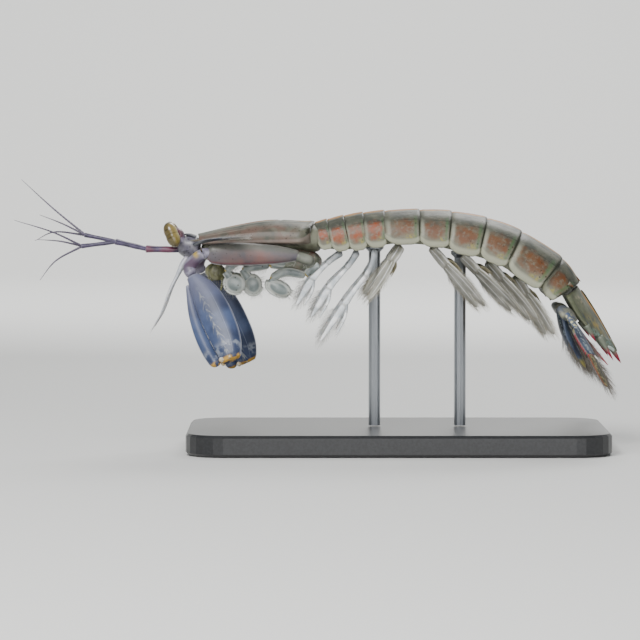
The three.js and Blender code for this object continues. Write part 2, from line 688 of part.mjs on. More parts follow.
// Swimmerets: two paddles on a short stem, with gill filaments behind them
const SWIMMERETS = [
  { somite: 'abdomen_1', place: 0.5, end: [-8.0, 9.4, 36.0] },
  { somite: 'abdomen_2', place: 0.5, end: [20.0, 9.0, 33.6] },
  { somite: 'abdomen_3', place: 0.55, end: [28.0, 9.0, 32.8] },
  { somite: 'abdomen_4', place: 0.5, end: [32.4, 8.8, 30.6] },
  { somite: 'abdomen_5', place: 0.45, end: [36.2, 8.0, 27.0] },
];
SWIMMERETS.forEach(({ somite, place, end }, index) => {
  for (const [name, side] of SIDES) {
    const root = underSomite(somiteNamed(somite), place, side * 6.6, GAP + 1.0);
    const tip = at(end[0], side * end[1], end[2]);
    const across = at(0.35, side, 0);
    const knee = root.clone().lerp(tip, 0.3);
    const stem = new Limb({
      points: [root, knee],
      across,
      widths: [3.0, 4.4, 4.2],
      depths: [1.6, 1.4],
      rings: 2,
      sides: 6,
    });
    const pieces = [stem.geometry];
    for (const [offset, reach] of [[1.55, 1.0], [-1.35, 0.92]]) {
      const start = root.clone().lerp(tip, 0.22);
      const paddle = new Limb({
        points: [start, start.clone().lerp(tip, 0.5 * reach), start.clone().lerp(tip, reach)],
        across,
        sideways: [offset * 0.6, offset, offset * 1.15],
        widths: [1.6, 3.0, 3.1, 2.2, 0.9],
        depths: [0.9, 0.7, 0.6],
        rings: 3,
        sides: 6,
      });
      pieces.push(paddle.geometry);
    }
    const back = stem.frame(0.8);
    const behind = back.normal.multiplyScalar(back.normal.x < 0 ? -1 : 1);
    for (const [offset, length] of [[-1.1, 3.6], [1.1, 4.6]]) {
      const start = back.point.clone().addScaledVector(back.across, offset);
      const droop = start.clone().addScaledVector(behind, 1.1).addScaledVector(back.along, 1.2);
      const stop = start.clone().addScaledVector(behind, 1.5).addScaledVector(back.along, length);
      pieces.push(new Limb({
        points: [start, droop, stop],
        across,
        widths: [0.8, 0.8, 0.5],
        rings: 2,
        sides: 4,
      }).geometry);
    }
    part(`pleopod_${index + 1}_${name}`, fuse(pieces), 'swimmeret', root);
  }
});

// Tail fan. A place on it is measured along the tail, to the side and up from its back.
const tail = trunkFrame(trunkLength);
const tailPoint = (along, y, up) => tail.point.clone()
  .addScaledVector(tail.along, along)
  .addScaledVector(tail.up, up)
  .setY(y);

// Telson: an arched plate with six teeth, small denticles between them and a keel
const telsonReach = steps([[0, 18.3], [0.35, 17.5], [0.75, 15.5], [0.85, 12.5], [1, 11.5]]);
const telsonHalfWidth = sampler([10.9, 11.2, 10.2]);
const telsonTop = (y) => TELSON.top - TELSON.arch * (Math.abs(y) / TELSON.halfWidth) ** 2.2;

function telsonPoint(u, v, face) {
  const y = u * telsonHalfWidth(v);
  const along = lerp(GAP, telsonReach(Math.abs(u)), v);
  const thickness = TELSON.thickness * (1 - 0.35 * Math.abs(u)) * (1 - 0.25 * v);
  return tailPoint(along, y, telsonTop(y) - (face ? thickness : 0));
}

function telsonPlate() {
  const acrossPlaces = [-1, -0.85, -0.75, -0.55, -0.35, -0.18, 0, 0.18, 0.35, 0.55, 0.75, 0.85, 1];
  const rows = 5;
  const columns = acrossPlaces.length;
  const points = [];
  const faces = [];
  for (const face of [0, 1]) {
    for (let row = 0; row <= rows; row++) {
      points.push(...acrossPlaces.map((u) => telsonPoint(u, row / rows, face)));
    }
  }
  const under = columns * (rows + 1);
  for (let row = 0; row < rows; row++) {
    for (let i = 0; i < columns - 1; i++) {
      const a = row * columns + i;
      const [b, c, d] = [a + 1, a + columns + 1, a + columns];
      faces.push(a, b, c, a, c, d);
      faces.push(under + a, under + c, under + b, under + a, under + d, under + c);
    }
  }

  // The four edges, walked once round, join the two faces
  const [front, right, rear, left] = [[], [], [], []];
  for (let i = 0; i < columns - 1; i++) {
    front.push(i);
    rear.unshift(rows * columns + i + 1);
  }
  for (let row = 0; row < rows; row++) {
    right.push(row * columns + columns - 1);
    left.unshift((row + 1) * columns);
  }
  const rim = [...front, ...right, ...rear, ...left];
  rim.forEach((a, index) => {
    const b = rim[(index + 1) % rim.length];
    faces.push(b, a, under + a, b, under + a, under + b);
  });
  return closed(points, faces);
}

const telson = [telsonPlate()];
const telsonTeeth = [
  { y: 2.8, root: 15.6, reach: 21.4, radius: 0.95 },
  { y: 7.9, root: 13.2, reach: 19.3, radius: 0.95 },
  { y: 10.5, root: 9.2, reach: 13.2, radius: 0.8 },
];
for (const [, side] of SIDES) {
  for (const { y, root, reach, radius } of telsonTeeth) {
    const up = telsonTop(y) - 0.75;
    telson.push(spine(tailPoint(root, side * y * 0.99, up), tailPoint(reach, side * y, up), radius, 5, 0.5));
  }
  const denticlePlaces = [0.06, 0.12, 0.18, 0.4, 0.46, 0.52, 0.58, 0.64];
  for (const u of denticlePlaces) {
    const y = side * u * TELSON.denticleWidth;
    const reach = telsonReach(u);
    const up = telsonTop(y) - 0.65;
    telson.push(spine(tailPoint(reach - 0.1, y, up), tailPoint(reach + 1.0, y * 1.01, up), 0.45, 3, 0.7));
  }
}
telson.push(new Limb({
  points: [[1.6, 0], [10, 0.1], [18.6, -0.2]].map(([along, lift]) => tailPoint(along, 0, TELSON.top + lift)),
  across: at(0, 1, 0),
  widths: [0.8, 1.3, 1.1, 0.7],
  depths: [0.6, 1.3, 1.1, 0.7],
  rings: 4,
  sides: 4,
}).geometry);
part('telson', fuse(telson), 'tail', tailPoint(GAP, 0, TELSON.top));

// Side fans: a stem with two long tines and an inner paddle, and a jointed outer paddle
for (const [name, side] of SIDES) {
  const inTail = ([along, y, up]) => tailPoint(along, side * y, up);
  const across = at(0, side * 0.92, 0).addScaledVector(tail.up, -0.38);
  const blade = (points, widths, depths, rings = 4, sides = 6) =>
    new Limb({ points: points.map(inTail), across, widths, depths, rings, sides });

  const stem = blade(
    [[2.3, 8.8, -6.7], [3.6, 10.6, -6.8], [5.4, 12.6, -6.9]], [3.6, 5.2, 4.8], [2.2, 2.1, 2.0]);
  const innerTine = blade(
    [[3.6, 11.2, -6.9], [10, 12.6, -6.4], [19, 14.2, -4.8]], [2.0, 2.4, 1.6, 0.5], [1.4, 1.0, 0.5]);
  const outerTine = blade(
    [[3.8, 12.6, -6.9], [9, 14.4, -6.6], [15.4, 16.8, -5.6]], [2.0, 1.9, 1.3, 0.5], [1.4, 1.0, 0.5]);
  const endopod = blade(
    [[3.2, 10.0, -7.3], [8, 10.2, -8.9], [13, 11.2, -9.4], [17, 12.2, -9.6]],
    [1.6, 2.8, 3.4, 3.2, 1.8], [1.2, 0.9, 0.7], 5);
  part(`uropod_${name}_protopod`, fuse([
    stem.geometry,
    innerTine.geometry,
    outerTine.geometry,
    endopod.geometry,
    ...fringe(endopod, { from: 0.45, to: 0.97, count: 4, side: -1, length: 4.6, lean: [0.6, 1.3] }),
    ...fringe(endopod, { from: 0.99, to: 0.6, count: 4, side: 1, length: 4.6, lean: [1.35, 0.9] }),
  ]), 'fan', inTail([2.3, 8.8, -6.7]));

  const outer = blade(
    [[7.4, 17.1, -7.2], [10.5, 18.9, -7.2], [14.6, 21.4, -7.2]], [2.0, 3.8, 4.2, 4.0, 3.2], [1.6, 1.3, 1.1]);
  const last = blade(
    [[13.6, 20.8, -7.2], [18, 23.6, -7.6], [22.2, 26.0, -8.0]], [2.2, 3.3, 3.4, 2.8, 1.2], [0.9, 0.8, 0.6]);
  part(`uropod_${name}_exopod`, fuse([
    outer.geometry,
    last.geometry,
    ...fringe(outer, { from: 0.35, to: 0.95, count: 5, side: 1, length: 1.4, lean: [0.9, 1.1] }),
    ...fringe(outer, { from: 0.35, to: 0.9, count: 3, side: -1, length: 3.4, lean: [0.6, 0.9] }),
    ...fringe(last, { from: 0.2, to: 0.97, count: 4, side: -1, length: 4.4, lean: [0.6, 1.35] }),
    ...fringe(last, { from: 0.99, to: 0.3, count: 4, side: 1, length: 3.8, lean: [1.3, 0.7] }),
  ]), 'fan', inTail([7.4, 17.1, -7.2]));
}

// Stand: a flat rounded base and two short rods with small cups under the belly
function roundedRectangle(length, width, radius) {
  const [x, y] = [length / 2 - radius, width / 2 - radius];
  const shape = new THREE.Shape();
  shape.absarc(x, y, radius, 0, Math.PI / 2);
  shape.absarc(-x, y, radius, Math.PI / 2, Math.PI);
  shape.absarc(-x, -y, radius, Math.PI, 1.5 * Math.PI);
  shape.absarc(x, -y, radius, 1.5 * Math.PI, TURN);
  return shape;
}

const { bevel } = STAND;
const baseOutline = roundedRectangle(STAND.length - 2 * bevel, STAND.width - 2 * bevel, STAND.corner - bevel);
part('stand_base', new THREE.ExtrudeGeometry(baseOutline, {
  depth: STAND.height - 2 * bevel,
  bevelThickness: bevel,
  bevelSize: bevel,
  bevelSegments: 1,
  curveSegments: 3,
}).translate(0, 0, bevel), 'base');

const RODS = [['stand_rod_front', 'thorax_8'], ['stand_rod_rear', 'abdomen_3']];
for (const [name, somite] of RODS) {
  const belly = underSomite(somiteNamed(somite), 0.5, 0, 2.5 * GAP);
  const bottom = STAND.height + GAP;
  const height = belly.z - bottom;
  const profile = [
    [0, 0],
    [STAND.rodRadius, 0],
    [STAND.rodRadius, height - 1.6],
    [STAND.cupRadius, height - 0.8],
    [STAND.cupRadius, height],
    [0, height],
  ].map(([radius, up]) => new THREE.Vector2(radius, up));
  const rod = new THREE.LatheGeometry(profile, 12).rotateX(Math.PI / 2);
  part(name, rod.translate(belly.x, 0, bottom), 'rod', at(belly.x, 0, bottom));
}

export default model;
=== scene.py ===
# A mantis shrimp of the slender, spearing kind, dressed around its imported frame.
# Shapes are worked out in millimetres, in the frame's own axes, and turned to metres when a
# mesh is made. The head points to -X, up is +Z and the animal's left side is -Y.

import math

import bmesh
import bpy
import numpy as np
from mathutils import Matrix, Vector


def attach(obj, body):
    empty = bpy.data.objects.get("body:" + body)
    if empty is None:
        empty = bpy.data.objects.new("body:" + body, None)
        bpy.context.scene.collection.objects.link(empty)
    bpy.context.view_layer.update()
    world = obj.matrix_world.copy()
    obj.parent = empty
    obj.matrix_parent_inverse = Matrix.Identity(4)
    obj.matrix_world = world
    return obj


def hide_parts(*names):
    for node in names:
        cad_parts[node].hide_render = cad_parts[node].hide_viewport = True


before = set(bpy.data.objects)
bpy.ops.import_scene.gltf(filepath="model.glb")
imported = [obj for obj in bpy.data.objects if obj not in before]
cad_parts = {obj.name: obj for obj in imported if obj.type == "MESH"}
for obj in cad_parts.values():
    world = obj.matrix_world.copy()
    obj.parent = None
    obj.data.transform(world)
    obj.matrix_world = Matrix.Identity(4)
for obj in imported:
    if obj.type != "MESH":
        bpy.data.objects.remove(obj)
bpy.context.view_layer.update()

MM = 0.001
TURN = 2 * math.pi
SIDES = (("left", -1), ("right", 1))
GAP = 0.3
SOMITE_GAP = 0.4
SOMITE_LAP = 0.75
FLANK_SHARE = 0.86
SOMITE_SQUARE = 0.8
BACK_LINE = [(-20, 54), (-10, 56.1), (2, 57), (14, 56.5), (26, 53.6), (36, 48), (40.6, 44.2), (43.6, 39.4)]
# Name, length, half width and depth of each body ring, from front to rear
SOMITES = [
    ("thorax_5", 2.8, 7.1, 7.0),
    ("thorax_6", 4.0, 8.1, 8.2),
    ("thorax_7", 4.6, 8.3, 8.8),
    ("thorax_8", 5.0, 9.1, 8.6),
    ("abdomen_1", 8.2, 11.3, 8.2),
    ("abdomen_2", 7.5, 11.9, 8.8),
    ("abdomen_3", 8.4, 12.4, 9.8),
    ("abdomen_4", 8.8, 12.75, 10.0),
    ("abdomen_5", 11.4, 12.9, 10.2),
    ("abdomen_6", 7.7, 11.2, 9.0),
]
CARAPACE_TOP = [(-47.6, 51), (-39, 53), (-31, 54.3), (-20.3, 54)]
CARAPACE_FRONT = -47.6
CARAPACE_LENGTH = 27.3
CARAPACE_UNDERSIDE = 48.6
EYE = {"centre": (-53.7, 4.0, 51.0), "axis": (-2.4, -1.5, 5.7), "length": 6.3, "radius": 1.65}
CLAW_LENGTH = 24.5
CLAW_THICKNESS = 4.0
GROOVE_DEPTH = 2.4
SLOT_HALF = 0.62
TELSON_TOP = -0.6
TELSON_ARCH = 3.2
TELSON_HALF = 10.9
rng = np.random.default_rng(11)


# Small helpers

def vec(*numbers):
    return np.array(numbers, float)


def unit(vector):
    return vector / np.linalg.norm(vector, axis=-1, keepdims=True)


def rounded(value, power):
    return np.sign(value) * np.abs(value) ** power


def held(value):
    return np.clip(value, 0, 1)


def bell(value, centre, width):
    return np.exp(-(((value - centre) / width) ** 2))


def dome(reach, lowest=0.0004):
    """Rises along a quarter circle as reach goes from 0 to 1"""
    return np.sqrt(np.clip(1 - held(1 - reach) ** 2, lowest, 1))


def circle(count):
    return np.linspace(0, TURN, count, endpoint=False)


def eased(count):
    """Shares from 0 to 1, set closer together towards the ends"""
    return (1 - np.cos(np.pi * np.linspace(0, 1, count))) / 2


def flipped(points, side):
    return [vec(x, side * y, z) for x, y, z in points]


def hermite(u, a, m, b, n):
    """The cubic from a to b whose slopes at its ends are m and n"""
    return (
        (2 * u**3 - 3 * u**2 + 1) * a
        + (u**3 - 2 * u**2 + u) * m
        + (3 * u**2 - 2 * u**3) * b
        + (u**3 - u**2) * n
    )


def smooth(values):
    """A smooth curve through evenly spaced values, read at t from 0 to 1"""
    values = np.array(values, float)
    slopes = np.gradient(values)

    def read(t):
        place = held(np.asarray(t, float)) * (len(values) - 1)
        i = np.minimum(place.astype(int), len(values) - 2)
        return hermite(place - i, values[i], slopes[i], values[i + 1], slopes[i + 1])
    return read


def places_of(across, along, rise):
    """The surface coordinates that the materials read; a plain list along runs down the grid's rows.

    Rise runs from -1 to 1 round a section. Over 2 it is a mark, by which a coat tells a part from the rest.
    """
    along = np.asarray(along, float)
    if along.ndim == 1:
        along = along[:, None]
    return np.stack(np.broadcast_arrays(across, along, rise), -1)


class Path:
    """A centripetal curve through points, read by its share of length"""

    def __init__(self, points):
        points = np.array(points, float)
        line = [2 * points[0] - points[1], *points, 2 * points[-1] - points[-2]]
        samples = []
        u = np.linspace(0, 1, 40, endpoint=False)[:, None]
        for i in range(len(points) - 1):
            p0, p1, p2, p3 = line[i:i + 4]
            d0, d1, d2 = (math.sqrt(np.linalg.norm(b - a)) for a, b in ((p0, p1), (p1, p2), (p2, p3)))
            m1 = ((p1 - p0) / d0 - (p2 - p0) / (d0 + d1) + (p2 - p1) / d1) * d1
            m2 = ((p2 - p1) / d1 - (p3 - p1) / (d1 + d2) + (p3 - p2) / d2) * d1
            samples.append(hermite(u, p1, m1, p2, m2))
        self.samples = np.vstack([*samples, points[-1:]])
        steps = np.linalg.norm(np.diff(self.samples, axis=0), axis=1)
        self.reach = np.concatenate([[0], np.cumsum(steps)])
        self.length = self.reach[-1]

    def at(self, t):
        place = np.asarray(t, float) * self.length
        return np.stack([np.interp(place, self.reach, self.samples[:, k]) for k in range(3)], -1)

    def along(self, t):
        t = np.asarray(t, float)
        return unit(self.at(held(t + 0.01)) - self.at(held(t - 0.01)))


class Limb:
    """A limb or blade swept along a path, with its width along the across direction"""

    def __init__(self, points, across, widths, depths=None, square=1.0, sideways=(0, 0), soft_ends=(0, 0)):
        self.path = Path(points)
        self.across = np.array(across, float)
        self.width = smooth(widths)
        self.depth = smooth(depths or widths)
        self.sideways = smooth(sideways)
        self.square = square
        self.soft_ends = soft_ends

    def frames(self, t):
        t = np.atleast_1d(np.asarray(t, float))
        along = self.path.along(t)
        across = unit(self.across - (along @ self.across)[:, None] * along)
        point = self.path.at(t) + across * self.sideways(t)[:, None]
        return point, along, across, np.cross(along, across)

    def frame_at(self, t):
        return [vectors[0] for vectors in self.frames(t)]

    def surface(self, t, angle):
        """Points for each t and each angle round the section; angle 0 is the across edge"""
        t = np.atleast_1d(np.asarray(t, float))
        angle = np.atleast_1d(np.asarray(angle, float))
        point, _, across, normal = self.frames(t)
        first, last = self.soft_ends
        ends = (dome(t / first) if first else 1.0) * (dome((1 - t) / last) if last else 1.0)
        half_width = (self.width(t) * ends / 2)[:, None, None]
        half_depth = (self.depth(t) * ends / 2)[:, None, None]
        cosine = rounded(np.cos(angle), self.square)[None, :, None]
        sine = rounded(np.sin(angle), self.square)[None, :, None]
        return point[:, None] + across[:, None] * half_width * cosine + normal[:, None] * half_depth * sine

    def swollen(self, t, angle, scale):
        """The surface with each section scaled about its centre"""
        centre = self.frames(t)[0][:, None]
        return centre + (self.surface(t, angle) - centre) * scale


def make_piece(name, points, faces, places, material):
    """A smooth mesh piece on the part's one body, with the surface place of each of its points"""
    mesh = bpy.data.meshes.new(name)
    mesh.from_pydata((points * MM).tolist(), [], faces)
    attribute = mesh.attributes.new("place", "FLOAT_VECTOR", "POINT")
    attribute.data.foreach_set("vector", places.ravel().astype(np.float32))
    mesh.polygons.foreach_set("use_smooth", [True] * len(mesh.polygons))
    mesh.materials.append(material)
    piece = bpy.data.objects.new(name, mesh)
    bpy.context.scene.collection.objects.link(piece)
    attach(piece, "root")
    return piece


class Skin:
    """Gathers grids of points into one mesh"""

    def __init__(self):
        self.points, self.places, self.faces = [], [], []
        self.count = 0

    def grid(self, points, places, wrap=True, caps=True):
        rows, columns = points.shape[:2]
        index = self.count + np.arange(rows * columns).reshape(rows, columns)
        self.points.append(points.reshape(-1, 3))
        self.places.append(np.broadcast_to(places, points.shape).reshape(-1, 3))
        self.count += rows * columns
        right = np.roll(index, -1, axis=1)
        quads = np.stack([index[:-1], right[:-1], right[1:], index[1:]], -1)
        if not wrap:
            quads = quads[:, :-1]
        self.faces.extend(quads.reshape(-1, 4).tolist())
        if wrap and caps:
            self.faces.append(index[0][::-1].tolist())
            self.faces.append(index[-1].tolist())
        return self

    def limb(self, limb, rings=28, sides=20, mark=None):
        t, angle = eased(rings), circle(sides)
        rise = np.sin(angle) if mark is None else mark
        return self.grid(limb.surface(t, angle), places_of(np.cos(angle), t, rise))

    def spine(self, root, tip, radius, sunk=0.6, mark=5.0, sides=9, across=None):
        root, tip = np.array(root, float), np.array(tip, float)
        way = unit(tip - root)
        start = root - way * sunk
        side = unit(np.cross(way, vec(0.3, 0.8, 0.55)))
        t, angle = np.linspace(0, 1, 9), circle(sides)
        size = radius * (1 - t) ** 0.85 + 0.02
        middle = start + (tip - start) * t[:, None]
        ring = side * np.cos(angle)[:, None] + np.cross(way, side) * np.sin(angle)[:, None]
        edge = np.cos(angle) if across is None else across
        return self.grid(middle[:, None] + ring[None] * size[:, None, None], places_of(edge, t, mark))

    def bead(self, centre, radii, turn=0.0, mark=None, rows=14, columns=20):
        """An ellipsoid, turned about the Y axis"""
        latitude = np.linspace(0.06, np.pi - 0.06, rows)[:, None]
        angle = circle(columns)
        x = radii[0] * np.sin(latitude) * np.cos(angle)
        z = radii[2] * np.sin(latitude) * np.sin(angle)
        y = radii[1] * np.cos(latitude) * np.ones_like(angle)
        turned = [x * math.cos(turn) + z * math.sin(turn), y, z * math.cos(turn) - x * math.sin(turn)]
        rise = np.cos(latitude) if mark is None else mark
        points = np.stack(turned, -1) + vec(*centre)
        return self.grid(points, places_of(np.cos(angle), (angle / TURN)[None], rise))

    def build(self, name, material, slot, nodes=()):
        piece = make_piece(name, np.vstack(self.points), self.faces, np.vstack(self.places), material)
        tidy = bmesh.new()
        tidy.from_mesh(piece.data)
        bmesh.ops.recalc_face_normals(tidy, faces=tidy.faces)
        tidy.to_mesh(piece.data)
        tidy.free()
        if nodes:
            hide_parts(*nodes)
        return piece


class Setae:
    """Fine tapered bristles as solid mesh, each with a small patch of its own in the bake map"""

    # Where along a bristle its three rings lie, its sides, and the size of its patch in the map
    SECTIONS = (0.0, 0.35, 0.7)
    SIDES = 3
    PATCH = 0.003

    def __init__(self):
        self.rows = []

    def add(self, roots, ways, lengths, bends, width=0.1, sunk=0.3, unwrap=(0.5, 0.5)):
        """Bristles at their roots; unwrap is each root's share round and along the skin it grows on"""
        roots, ways = np.atleast_2d(roots), unit(np.atleast_2d(ways))
        bends = np.broadcast_to(bends, roots.shape)
        lengths = np.broadcast_to(lengths, (len(roots),))
        strip = np.full(len(roots), len(self.rows))
        place = np.stack(np.broadcast_arrays(strip + unwrap[0], unwrap[1]), -1)
        widths = np.full(len(roots), width)
        self.rows.append((roots - ways * sunk, ways, lengths + sunk, bends, widths, place))
        return self

    def fringe(self, limb, start, stop, count, side, length, lean, width=0.1, spread=0.12):
        """Bristles along one edge of a blade, from t start to stop, leaning more towards the tip"""
        t = held(np.linspace(start, stop, count) + rng.normal(0, 0.1 / count, count))
        _, along, across, normal = limb.frames(t)
        edge = limb.surface(t, [0.0 if side > 0 else np.pi])[:, 0]
        angle = np.linspace(lean[0], lean[1], count)[:, None] + rng.normal(0, 0.05, (count, 1))
        lift = normal * rng.normal(0, spread, (count, 1))
        ways = across * side * np.cos(angle) + along * np.sin(angle) + lift
        crest = np.sin(np.pi * np.clip(np.linspace(0, 1, count), 0.15, 0.95))
        lengths = length * (0.75 + 0.25 * crest) * rng.uniform(0.85, 1.1, count)
        unwrap = (0.25 if side > 0 else 0.75, t)
        return self.add(edge, ways, lengths, along * 0.25 * length, width, unwrap=unwrap)

    def build(self, name, material):
        roots, ways, lengths, bends, widths, unwraps = (np.concatenate(column) for column in zip(*self.rows))
        count = len(roots)
        side = unit(np.cross(ways, vec(0.31, 0.82, 0.48)))
        other = np.cross(ways, side)
        points = []
        for share in self.SECTIONS:
            centre = roots + ways * (lengths * share)[:, None] + bends * (share**2 * 0.5)
            size = (widths * (1 - 0.75 * share) / 2)[:, None]
            points += [centre + (side * math.cos(a) + other * math.sin(a)) * size for a in circle(self.SIDES)]
        points.append(roots + ways * lengths[:, None] + bends * 0.5)
        top = len(points) - 1
        pattern = []
        for row in range(len(self.SECTIONS) - 1):
            for k in range(self.SIDES):
                a, b = row * self.SIDES + k, row * self.SIDES + (k + 1) % self.SIDES
                pattern += [(a, b, b + self.SIDES), (a, b + self.SIDES, a + self.SIDES)]
        pattern += [(top - 3, top - 2, top), (top - 2, top - 1, top), (top - 1, top - 3, top), (0, 2, 1)]
        faces = (np.array(pattern)[None] + (np.arange(count) * len(points))[:, None, None]).reshape(-1, 3)
        places = np.zeros((count, len(points), 3))
        places[..., 0] = rng.uniform(0, 1, (count, 1))
        places[..., 1] = [*np.repeat(self.SECTIONS, self.SIDES), 1.0]
        points = np.stack(points, 1).reshape(-1, 3)
        piece = make_piece(name, points, faces.tolist(), places, material)
        corners = np.array([[0, 0], [0.5, 1], [1, 0]]) * self.PATCH
        middles = unwraps * vec(1 / len(self.rows), 1) * (1 - self.PATCH)
        uv = middles[:, None, None, :] + corners[None, None, :, :] + np.zeros((1, len(pattern), 1, 1))
        piece.data.uv_layers.new(name="OFBake").data.foreach_set("uv", uv.reshape(-1).astype(np.float32))
        return piece


# Materials

def rgb(code):
    """A colour of the screen, such as 'd99a2b', as linear red, green, blue and alpha"""
    parts = [int(code[k:k + 2], 16) / 255 for k in (0, 2, 4)]
    return [c / 12.92 if c <= 0.04045 else ((c + 0.055) / 1.055) ** 2.4 for c in parts] + [1.0]


class Value:
    """A number in a coat's node tree, for plain arithmetic"""

    def __init__(self, coat, socket):
        self.coat, self.socket = coat, socket

    def __add__(self, other):
        return self.coat.math("ADD", self, other)

    def __radd__(self, other):
        return self.coat.math("ADD", other, self)

    def __sub__(self, other):
        return self.coat.math("SUBTRACT", self, other)

    def __rsub__(self, other):
        return self.coat.math("SUBTRACT", other, self)

    def __mul__(self, other):
        return self.coat.math("MULTIPLY", self, other)

    def __truediv__(self, other):
        return self.coat.math("DIVIDE", self, other)

    def __abs__(self):
        return self.coat.math("ABSOLUTE", self)

    def sine(self):
        return self.coat.math("SINE", self)

    def step(self, low, high):
        """0 below low, 1 above high, smooth between; falls instead where low is over high"""
        node = self.coat.node("ShaderNodeMapRange", interpolation_type="SMOOTHSTEP")
        self.coat.put(node.inputs["Value"], self)
        rising = low < high
        ends = {
            "From Min": min(low, high),
            "From Max": max(low, high),
            "To Min": not rising,
            "To Max": rising,
        }
        for name, number in ends.items():
            node.inputs[name].default_value = number
        return Value(self.coat, node.outputs[0])

    def band(self, centre, half, soft):
        """1 within half of the centre, fading out over soft"""
        return abs(self - centre).step(half + soft, max(half - soft, 0.0))


class Coat:
    """A material's node tree, built by short calls"""

    def __init__(self, name, roughness=0.3, coat=0.4, soft=0.25, glow=0.0, specular=0.5, coat_roughness=0.25):
        self.material = bpy.data.materials.new(name)
        self.material.use_nodes = True
        self.tree = self.material.node_tree
        self.shader = self.tree.nodes["Principled BSDF"]
        settings = {
            "Roughness": roughness,
            "Coat Weight": coat,
            "Coat Roughness": coat_roughness,
            "Subsurface Weight": soft,
            "Subsurface Radius": (0.6, 0.5, 0.4),
            "Subsurface Scale": 0.0006,
            "Transmission Weight": glow,
            "Specular IOR Level": specular,
        }
        for setting, value in settings.items():
            self.shader.inputs[setting].default_value = value
        self.object_place = self.node("ShaderNodeTexCoord").outputs["Object"]
        split = self.node("ShaderNodeSeparateXYZ")
        self.put(split.inputs[0], self.node("ShaderNodeAttribute", attribute_name="place").outputs["Vector"])
        across, along, rise = (Value(self, socket) for socket in split.outputs)
        self.places = across, along, rise, abs(across)
        self.colour = None

    def node(self, kind, **settings):
        node = self.tree.nodes.new(kind)
        for name, value in settings.items():
            setattr(node, name, value)
        return node

    def put(self, socket, value):
        value = getattr(value, "socket", value)
        if isinstance(value, bpy.types.NodeSocket):
            self.tree.links.new(value, socket)
        else:
            socket.default_value = rgb(value) if isinstance(value, str) else value

    def math(self, operation, a, b=0.0):
        node = self.node("ShaderNodeMath", operation=operation)
        self.put(node.inputs[0], a)
        self.put(node.inputs[1], b)
        return Value(self, node.outputs[0])

    def noise(self, scale, detail=3.0, stretch=None):
        """Cloudy noise; stretch scales the space it is read in"""
        node = self.node("ShaderNodeTexNoise")
        place = self.object_place
        if stretch:
            mapping = self.node("ShaderNodeMapping")
            self.put(mapping.inputs["Vector"], place)
            mapping.inputs["Scale"].default_value = stretch
            place = mapping.outputs["Vector"]
        self.put(node.inputs["Vector"], place)
        node.inputs["Scale"].default_value = scale
        node.inputs["Detail"].default_value = detail
        return Value(self, node.outputs["Fac"])

    def dots(self, scale, size, soft=0.05):
        node = self.node("ShaderNodeTexVoronoi")
        self.put(node.inputs["Vector"], self.object_place)
        node.inputs["Scale"].default_value = scale
        return Value(self, node.outputs["Distance"]).step(size + soft, size)

    def mix(self, a, b, *masks):
        """Colour a, with b laid over it where all the masks meet; a number weakens them"""
        factor = masks[0]
        for mask in masks[1:]:
            factor = factor * mask
        node = self.node("ShaderNodeMix", data_type="RGBA")
        self.put(node.inputs["Factor"], factor)
        self.put(node.inputs[6], a)
        self.put(node.inputs[7], b)
        return node.outputs[2]

    def base(self, dark, light, mask):
        self.colour = self.mix(dark, light, mask)

    def paint(self, colour, *masks):
        self.colour = self.mix(self.colour, colour, *masks)

    def finish(self, height=None, strength=0.3, distance=0.0002, depth=0.68, richness=1.0):
        """Deepens the colour and lays it and the relief on the shader"""
        pigment = self.node("ShaderNodeHueSaturation")
        pigment.inputs["Saturation"].default_value = richness
        pigment.inputs["Value"].default_value = depth
        self.put(pigment.inputs["Color"], self.colour)
        self.put(self.shader.inputs["Base Color"], pigment.outputs["Color"])
        if height is not None:
            bump = self.node("ShaderNodeBump")
            bump.inputs["Strength"].default_value = strength
            bump.inputs["Distance"].default_value = distance
            self.put(bump.inputs["Height"], height)
            self.put(self.shader.inputs["Normal"], bump.outputs["Normal"])
        return self.material


